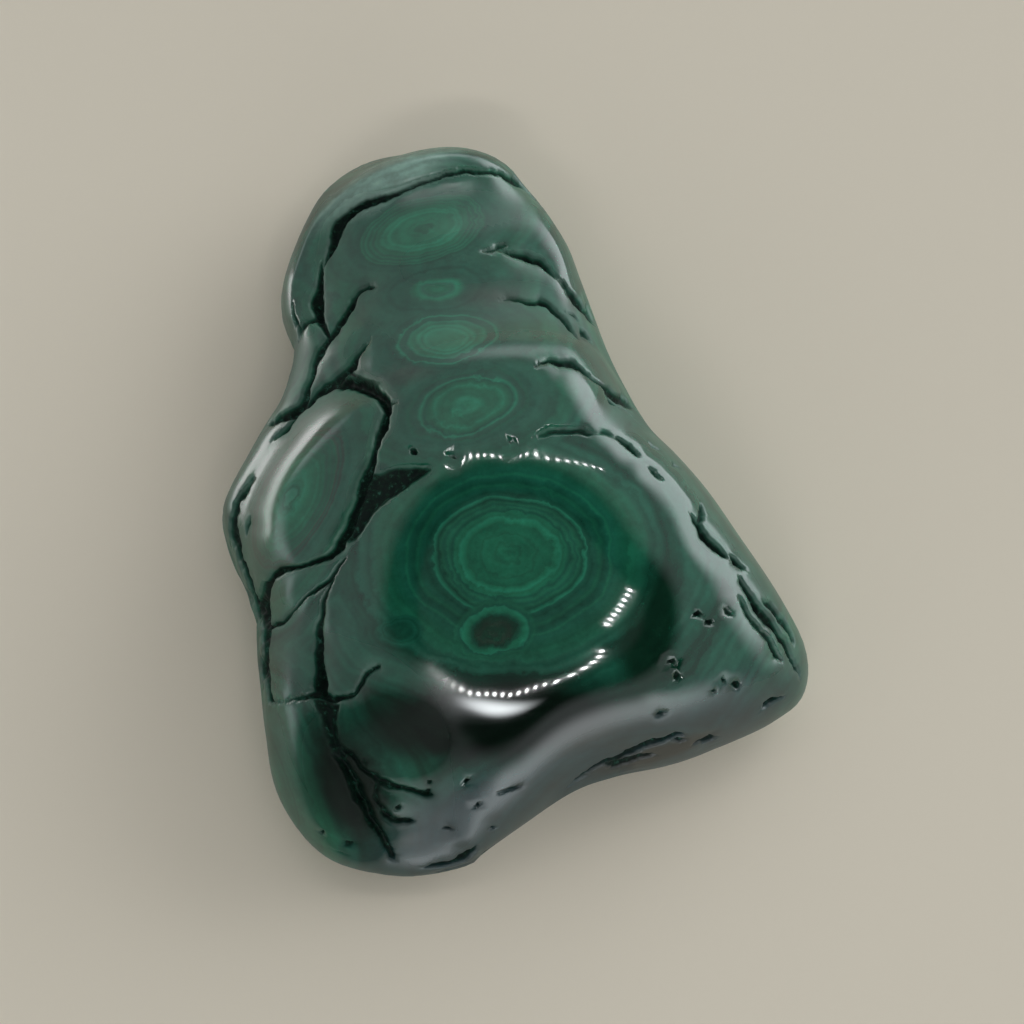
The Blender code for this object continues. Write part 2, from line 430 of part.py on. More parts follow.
class Skin:
    """The polished skin of the stone as a function that is zero on it, negative inside."""

    def __init__(self):
        self.make_outline()
        self.make_heights()
        self.lobes = [self.lobe_frame(lobe) for lobe in LOBES]

    def make_outline(self):
        """Turn the outline into a radius for each angle."""
        curve = closed_curve(OUTLINE)
        angle = np.arctan2(curve[:, 1], curve[:, 0])
        order = np.argsort(angle)
        self.angles = angle[order]
        self.radii = np.hypot(curve[:, 0], curve[:, 1])[order]

    def make_heights(self):
        """Fit a soft surface through the spot heights."""
        spots = np.array(SPOTS)
        count = len(spots)
        apart = np.hypot(spots[:, None, 0] - spots[None, :, 0],
                         spots[:, None, 1] - spots[None, :, 1])
        system = np.zeros((count + 3, count + 3))
        system[:count, :count] = np.sqrt(apart ** 2 + SPOT_SPREAD ** 2)
        system[:count, :count] += SPOT_EASE * np.eye(count)
        system[:count, count] = 1.0
        system[:count, count + 1:] = spots[:, :2]
        system[count, :count] = 1.0
        system[count + 1:, :count] = spots[:, :2].T
        self.spots = spots
        self.weights = np.linalg.solve(system, np.append(spots[:, 2], [0.0, 0.0, 0.0]))

    @staticmethod
    def lobe_frame(lobe):
        """Return the centre, the axes, the half sizes and the join of one lobe."""
        compass, rise = math.radians(lobe.compass), math.radians(lobe.rise)
        out = np.array([math.cos(rise) * math.cos(compass),
                        math.cos(rise) * math.sin(compass), math.sin(rise)])
        across = np.array([1.0, 0.0, 0.0]) - out * out[0]
        across /= np.linalg.norm(across)
        along = np.cross(out, across)
        turn = math.radians(lobe.turn)
        first = across * math.cos(turn) + along * math.sin(turn)
        second = along * math.cos(turn) - across * math.sin(turn)
        halves = np.array(lobe.halves)
        centre = np.array(lobe.middle) - out * halves[2]
        return centre, np.stack([first, second, out]), halves, lobe.join

    def top(self, points):
        """Return how far points are above the polished top."""
        dx = points[:, 0, None] - self.spots[None, :, 0]
        dy = points[:, 1, None] - self.spots[None, :, 1]
        reach = np.sqrt(dx ** 2 + dy ** 2 + SPOT_SPREAD ** 2)
        spot, (level, slope_x, slope_y) = self.weights[:-3], self.weights[-3:]
        height = reach @ spot + level + slope_x * points[:, 0] + slope_y * points[:, 1]
        rise_x = (dx / reach) @ spot + slope_x
        rise_y = (dy / reach) @ spot + slope_y
        return (points[:, 2] - height) / np.sqrt(1.0 + rise_x ** 2 + rise_y ** 2)

    def wall(self, points):
        """Return how far points are outside the wall."""
        angle = np.arctan2(points[:, 1], points[:, 0])
        radius = np.interp(angle, self.angles, self.radii, period=2.0 * math.pi)
        off = points[:, 2] - WIDEST_AT
        lean = off ** 2 / (2.0 * np.where(off > 0.0, LEAN_UP, LEAN_DOWN))
        return (np.hypot(points[:, 0], points[:, 1]) - radius) * WALL_SLOPE + lean

    def value(self, points):
        """Return the skin function at the points."""
        result = self.top(points)
        for centre, axes, halves, join in self.lobes:
            local = (points - centre) @ axes.T
            near = np.linalg.norm(local / halves, axis=1)
            steep = np.linalg.norm(local / halves ** 2, axis=1) + 1e-9
            result = soft_min(result, near * (near - 1.0) / steep, join)
        result = soft_max(result, self.wall(points), EDGE_ROUND)
        return soft_max(result, -points[:, 2], BASE_ROUND)

    def slope(self, points, step=0.05):
        """Return the gradient of the skin function at the points."""
        result = np.empty_like(points)
        for axis in range(3):
            shift = np.zeros(3)
            shift[axis] = step
            ahead, behind = self.value(points + shift), self.value(points - shift)
            result[:, axis] = (ahead - behind) / (2.0 * step)
        return result


def line_reach(xy, line):
    """Return the distance to a line of x, y, half width, and the half width there."""
    best = np.full(len(xy), 1e9)
    width = np.zeros(len(xy))
    for start, end in zip(line[:-1], line[1:]):
        span = end[:2] - start[:2]
        along = np.clip(((xy - start[:2]) @ span) / (span @ span), 0.0, 1.0)
        away = np.hypot(*(xy - start[:2] - along[:, None] * span).T)
        closer = away < best
        best = np.where(closer, away, best)
        width = np.where(closer, start[2] + (end[2] - start[2]) * along, width)
    return best, width


def cut_creases(xy, creases):
    """Return how deep the creases are at each place on a sheet."""
    deep = np.zeros(len(xy))
    roll = np.zeros(len(xy))
    for points in creases.values():
        line = np.array(points)
        reach = line[:, 2].max() + ROLL_WIDTH
        low, high = line[:, :2].min(axis=0) - reach, line[:, :2].max(axis=0) + reach
        near = np.nonzero(np.all((xy > low) & (xy < high), axis=1))[0]
        away, width = line_reach(xy[near], line)
        groove = np.clip(1.0 - (away / (LIP * width)) ** 2, 0.0, 1.0) ** 2
        edge = np.clip(1.0 - away / (width + ROLL_WIDTH), 0.0, 1.0) ** 2
        deep[near] = np.maximum(deep[near], CREASE_DEPTH * width * groove)
        roll[near] = np.maximum(roll[near], ROLL_DEPTH * width * edge)
    return deep + roll


def cut_hollows(xy, hollows):
    """Return how deep the hollows are at each place on a sheet."""
    deep = np.zeros(len(xy))
    for depth, corners in hollows.values():
        ring = np.array(corners + corners[:1])
        low, high = ring.min(axis=0), ring.max(axis=0)
        near = np.nonzero(np.all((xy > low) & (xy < high), axis=1))[0]
        spot = xy[near]
        best = np.full(len(spot), 1e9)
        inside = np.zeros(len(spot), bool)
        for start, end in zip(ring[:-1], ring[1:]):
            span = end - start
            along = np.clip(((spot - start) @ span) / (span @ span), 0.0, 1.0)
            away = np.hypot(*(spot - start - along[:, None] * span).T)
            best = np.minimum(best, away)
            spans = (start[1] > spot[:, 1]) != (end[1] > spot[:, 1])
            rise = span[1] if span[1] != 0.0 else 1e-9
            inside ^= spans & (spot[:, 0] < start[0] + span[0] * (spot[:, 1] - start[1]) / rise)
        side = smooth_step(0.0, HOLLOW_EDGE, np.where(inside, best, 0.0))
        deep[near] = np.maximum(deep[near], depth * side)
    return deep


def cut_pits(xy, pits):
    """Return how deep the pits are at each place on a sheet."""
    deep = np.zeros(len(xy))
    for x, y, length, width, turn in pits:
        turn = math.radians(turn)
        along = (xy[:, 0] - x) * math.cos(turn) + (xy[:, 1] - y) * math.sin(turn)
        aside = (xy[:, 1] - y) * math.cos(turn) - (xy[:, 0] - x) * math.sin(turn)
        bowl = np.clip(1.0 - (along / length) ** 2 - (aside / width) ** 2, 0.0, 1.0)
        deep = np.maximum(deep, 1.6 * width * bowl)
    return deep


class Carving:
    """The creases, hollows and pits, and how they are carried onto the stone."""

    def __init__(self):
        toward = np.array([0.0, math.cos(SHEET_RISE), -math.sin(SHEET_RISE)])
        self.toward = toward
        self.right = np.array([1.0, 0.0, 0.0])
        self.up = np.cross(self.right, toward)
        self.origin = SHEET_MIDDLE - toward * SHEET_REACH

    def on_sheet(self, points):
        """Return where points fall on the leaning sheet."""
        offset = points - self.origin
        scale = SHEET_REACH / (offset @ self.toward)
        return np.stack([(offset @ self.right) * scale, (offset @ self.up) * scale], axis=1)

    def sheet_depth(self, points):
        """Return the depth of everything drawn on the leaning sheet."""
        xy = self.on_sheet(points)
        deep = cut_creases(xy, SHEET_CREASES)
        deep = np.maximum(deep, cut_hollows(xy, SHEET_HOLLOWS))
        return np.maximum(deep, cut_pits(xy, SHEET_PITS))

    def wall_depth(self, points):
        """Return the depth of everything drawn on the unrolled wall."""
        angle = np.arctan2(points[:, 1], points[:, 0]) % (2.0 * math.pi)
        xy = np.stack([angle * UNROLL, points[:, 2]], axis=1)
        turn = math.radians(1.0) * UNROLL
        lines = {name: [(a * turn, z, w) for a, z, w in line]
                 for name, line in WALL_CREASES.items()}
        pits = [(a * turn, z, length, width, spin) for a, z, length, width, spin in WALL_PITS]
        return np.maximum(cut_creases(xy, lines), cut_pits(xy, pits))

    def depth(self, points, normals):
        """Return how far the skin is cut in at each point."""
        facing = np.sum(normals * unit(self.origin - points), axis=1)
        seen = smooth_step(0.02, 0.16, facing)
        low = smooth_step(0.35, 0.75, -normals[:, 2])
        hidden = (1.0 - smooth_step(-0.02, 0.12, facing)) * (1.0 - low)
        return seen * self.sheet_depth(points) + hidden * self.wall_depth(points)


def quad_ball():
    """Return a cube of evenly cut quads, blown up to a ball of radius one."""
    ball = bmesh.new()
    bmesh.ops.create_cube(ball, size=2.0)
    bmesh.ops.subdivide_edges(ball, edges=ball.edges[:], cuts=CUTS - 1, use_grid_fill=True)
    return ball


def blow_up(ball, skin):
    """Return the ball's points moved from a flat core straight out onto the skin."""
    cube = np.array([vert.co[:] for vert in ball.verts])
    edge = np.isclose(np.abs(cube), 1.0)
    ball_points = unit(np.where(edge, np.sign(cube), np.tan(cube * math.pi / 4.0)))
    spread = np.hypot(ball_points[:, 0], ball_points[:, 1])
    angle = np.arctan2(ball_points[:, 1], ball_points[:, 0])
    radius = np.interp(angle, skin.angles, skin.radii, period=2.0 * math.pi)
    aside = np.stack([np.cos(angle), np.sin(angle)], axis=1)
    core = np.column_stack([aside * (CORE * radius * spread)[:, None],
                            np.full(len(cube), CORE_HEIGHT)])
    rays = unit(np.column_stack([aside * (spread ** 3)[:, None], ball_points[:, 2]])) * LENGTH
    near, far = np.zeros(len(rays)), np.ones(len(rays))
    for _ in range(30):
        half = 0.5 * (near + far)
        inside = skin.value(core + rays * half[:, None]) < 0.0
        near, far = np.where(inside, half, near), np.where(inside, far, half)
    return core + rays * near[:, None]


def settle(points, skin, rounds=2):
    """Return points moved straight onto the skin."""
    for _ in range(rounds):
        slope = skin.slope(points)
        points = points - slope * (skin.value(points)
                                   / np.maximum(np.sum(slope ** 2, axis=1), 0.2))[:, None]
    return points


def edge_ends(ball):
    """Return the two point numbers of each edge."""
    ball.verts.index_update()
    return np.array([[edge.verts[0].index, edge.verts[1].index] for edge in ball.edges])


def neighbour_mean(ends, values):
    """Return the mean of the neighbours' values at each point."""
    count = np.bincount(ends.ravel(), minlength=len(values))[:, None]
    total = np.zeros_like(values)
    for axis in range(3):
        total[:, axis] += np.bincount(ends[:, 0], values[ends[:, 1], axis], len(values))
        total[:, axis] += np.bincount(ends[:, 1], values[ends[:, 0], axis], len(values))
    return total / count


def even_out(ball, points, skin):
    """Return points spread more evenly over the skin."""
    ends = edge_ends(ball)
    for _ in range(EVEN_ROUNDS):
        points = settle(0.5 * points + 0.5 * neighbour_mean(ends, points), skin, 1)
    return settle(points, skin)


def cut_finer(ball, points, chosen):
    """Split the quads that a crease or pit runs through, and return all the points."""
    for vert, point in zip(ball.verts, points):
        vert.co = point
    ends = edge_ends(ball)
    split = chosen[ends[:, 0]] | chosen[ends[:, 1]]
    edges = [edge for edge, wanted in zip(ball.edges[:], split) if wanted]
    bmesh.ops.subdivide_edges(ball, edges=edges, cuts=1, use_grid_fill=True)
    ball.verts.index_update()
    return np.array([vert.co[:] for vert in ball.verts])


def carve(ball, points, skin):
    """Cut the creases, hollows and pits, and return the cut points."""
    carving = Carving()
    for shallow in (0.02, 0.12):
        deep = carving.depth(points, unit(skin.slope(points)))
        points = settle(cut_finer(ball, points, deep > shallow), skin)
    normals = unit(skin.slope(points))
    deep = carving.depth(points, normals)
    ends = edge_ends(ball)
    for _ in range(NORMAL_ROUNDS):
        normals = unit(0.5 * normals + 0.5 * neighbour_mean(ends, normals))
    return points - normals * deep[:, None]


def thin(mesh):
    """Return the mesh with only as many triangles as its shape needs."""
    carrier = bpy.data.objects.new("thinning", mesh)
    bpy.context.scene.collection.objects.link(carrier)
    modifier = carrier.modifiers.new("thin", "DECIMATE")
    mesh.calc_loop_triangles()
    modifier.ratio = TRIANGLES / len(mesh.loop_triangles)
    modifier.use_collapse_triangulate = True
    bpy.context.view_layer.update()
    graph = bpy.context.evaluated_depsgraph_get()
    result = bpy.data.meshes.new_from_object(carrier.evaluated_get(graph))
    bpy.data.objects.remove(carrier)
    return result


def finish_shape(mesh):
    """Flatten the base, set the overall size, and centre the stone over the origin."""
    shape = bmesh.new()
    shape.from_mesh(mesh)
    for vert in shape.verts:
        if vert.co.z < BASE_SNAP:
            vert.co.z = 0.0
    bmesh.ops.remove_doubles(shape, verts=shape.verts[:], dist=0.01)
    bmesh.ops.dissolve_degenerate(shape, edges=shape.edges[:], dist=0.01)
    bmesh.ops.triangulate(shape, faces=[face for face in shape.faces if len(face.verts) > 3])
    points = np.array([vert.co[:] for vert in shape.verts])
    low, high = points.min(axis=0), points.max(axis=0)
    middle = 0.5 * (low + high)
    scale = np.array([WIDTH, LENGTH, HEIGHT]) / (high - low)
    for vert, point in zip(shape.verts, points):
        x, y = (point[:2] - middle[:2]) * scale[:2]
        vert.co = (x * MM, y * MM, (point[2] - low[2]) * scale[2] * MM)
    bmesh.ops.recalc_face_normals(shape, faces=shape.faces[:])
    shape.to_mesh(mesh)
    shape.free()


def stone_material():
    """Return a plain dark green material."""
    material = bpy.data.materials.new("malachite green")
    material.use_nodes = True
    shader = material.node_tree.nodes["Principled BSDF"]
    shader.inputs["Base Color"].default_value = (0.012, 0.105, 0.06, 1.0)
    shader.inputs["Roughness"].default_value = 0.12
    return material


def main():
    """Make the stone."""
    for item in list(bpy.data.objects):
        bpy.data.objects.remove(item)
    skin = Skin()
    ball = quad_ball()
    points = even_out(ball, blow_up(ball, skin), skin)
    points = carve(ball, points, skin)
    for vert, point in zip(ball.verts, points):
        vert.co = point
    bmesh.ops.recalc_face_normals(ball, faces=ball.faces[:])
    mesh = bpy.data.meshes.new(NODE)
    ball.to_mesh(mesh)
    ball.free()
    mesh = thin(mesh)
    finish_shape(mesh)
    mesh.name = NODE
    mesh.materials.clear()
    mesh.materials.append(stone_material())
    bpy.context.scene.collection.objects.link(bpy.data.objects.new(NODE, mesh))


if __name__ == "__main__":
    main()
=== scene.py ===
"""Malachite specimen: the looks of one hand-polished stone.

The stone is a single piece, so it is made as one fine mesh that stands for the CAD node
and fills the same box.  Four groups of classes build and dress it:

* Skin, Carving and StoneMesh make the shape: a ball of quads is pushed out onto the
  polished skin, evened out, cut finer where a crease runs, and carved;
* Eye and GrowthPattern give the bands: rings of green round each growth centre, which
  go on down the sides as stripes;
* PolishedMalachite is the finish, hand-polished all over; the base is sawn flat;
* Studio lays the floor, hangs the soft tent with its small lamps and sets the camera.

Lengths are in millimetres until FrameFit turns them into the frame's metres.
"""

import logging
import math
from dataclasses import dataclass, field, replace
from enum import Enum

import bmesh
import bpy
import numpy as np
from mathutils import Euler, Matrix, Vector, noise


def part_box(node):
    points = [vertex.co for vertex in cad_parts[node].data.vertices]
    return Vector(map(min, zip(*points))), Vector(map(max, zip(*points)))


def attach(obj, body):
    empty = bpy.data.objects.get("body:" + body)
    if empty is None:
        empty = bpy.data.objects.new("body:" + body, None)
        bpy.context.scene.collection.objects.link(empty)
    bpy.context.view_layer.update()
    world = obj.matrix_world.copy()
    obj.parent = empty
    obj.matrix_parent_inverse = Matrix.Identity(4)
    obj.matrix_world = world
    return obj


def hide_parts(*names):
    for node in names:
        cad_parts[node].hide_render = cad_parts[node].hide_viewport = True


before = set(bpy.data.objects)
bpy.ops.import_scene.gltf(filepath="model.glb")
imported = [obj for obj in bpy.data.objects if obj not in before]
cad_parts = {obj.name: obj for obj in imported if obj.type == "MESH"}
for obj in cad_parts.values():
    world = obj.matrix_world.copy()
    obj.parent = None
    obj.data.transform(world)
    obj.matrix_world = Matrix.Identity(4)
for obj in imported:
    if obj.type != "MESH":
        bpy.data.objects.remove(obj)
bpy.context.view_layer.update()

STONE = "malachite_stone"
NODE = "malachite"
MM = 0.001

Point3 = tuple[float, float, float]
Point2 = tuple[float, float]
Colour = tuple[float, float, float, float]
Lines = dict[str, tuple[Point3, ...]]
Hollows = dict[str, tuple[float, tuple[Point2, ...]]]
Pits = tuple[tuple[float, float, float, float, float], ...]

# Outline at the widest line, going round from the right flank: x, y.
OUTLINE: tuple[Point2, ...] = (
    (27.5, -3.0), (24.0, 2.5), (20.5, 7.0), (17.0, 11.0), (14.0, 16.5), (11.5, 22.0),
    (8.5, 31.0), (6.5, 37.0), (2.5, 44.0), (-3.0, 49.0), (-10.0, 51.5), (-17.5, 50.0),
    (-23.0, 45.5), (-25.8, 40.0), (-28.0, 33.0), (-28.0, 28.0), (-26.5, 23.0),
    (-27.5, 17.5), (-31.0, 10.5), (-34.5, 3.0), (-33.0, -3.5), (-30.5, -9.5),
    (-29.5, -16.5), (-28.5, -24.0), (-26.7, -32.0), (-21.5, -39.0), (-13.0, -41.5),
    (-5.5, -40.0), (-3.0, -38.0), (1.7, -34.5), (7.0, -31.0), (12.5, -29.0),
    (19.0, -27.5), (26.0, -24.8), (31.0, -22.3), (34.0, -19.5), (34.5, -15.0),
    (32.0, -10.0),
)

# Spot heights of the polished top: x, y, z.
SPOTS: tuple[Point3, ...] = (
    (0.5, -13.0, 20.8), (0.5, 1.0, 23.3), (-9.0, 1.0, 22.4), (10.0, 0.0, 22.7),
    (2.0, -27.0, 14.0), (13.0, -19.0, 16.0), (15.5, -6.0, 20.8), (-9.0, -25.0, 14.0),
    (-16.0, -14.0, 16.5), (-6.0, 8.0, 22.7), (-8.0, 16.5, 20.9), (-10.0, 32.5, 16.6),
    (2.0, 14.0, 21.4), (-16.0, 14.0, 19.5), (-1.0, 28.0, 17.9), (-18.0, 30.0, 14.6),
    (-8.5, 42.0, 12.6), (-19.5, 41.0, 11.8), (-10.0, 50.0, 8.0), (0.5, 43.0, 11.8),
    (6.0, 28.0, 16.7), (10.5, 14.0, 19.2), (14.5, 3.0, 21.0), (19.5, -9.0, 19.5),
    (17.5, 7.0, 16.9), (21.5, 0.0, 16.9), (25.5, -8.0, 15.0), (25.5, -20.0, 12.0),
    (32.0, -18.0, 9.5), (19.0, -23.5, 12.5), (7.0, -28.0, 12.5), (-2.0, -33.0, 11.0),
    (-8.0, -35.5, 8.2), (-22.0, -17.0, 14.5), (-26.0, -17.0, 12.8), (-19.0, -31.0, 9.5),
    (-24.0, -30.0, 10.0), (-14.0, -36.0, 7.2), (-14.0, -31.0, 10.4), (-24.0, 0.5, 15.0),
    (-29.0, -7.0, 11.8), (-31.5, 1.0, 11.8), (-18.5, 10.0, 17.2), (-17.0, 2.0, 18.2),
    (-24.5, 11.0, 14.4), (-22.0, 21.0, 15.0), (-25.0, 30.0, 11.8),
)

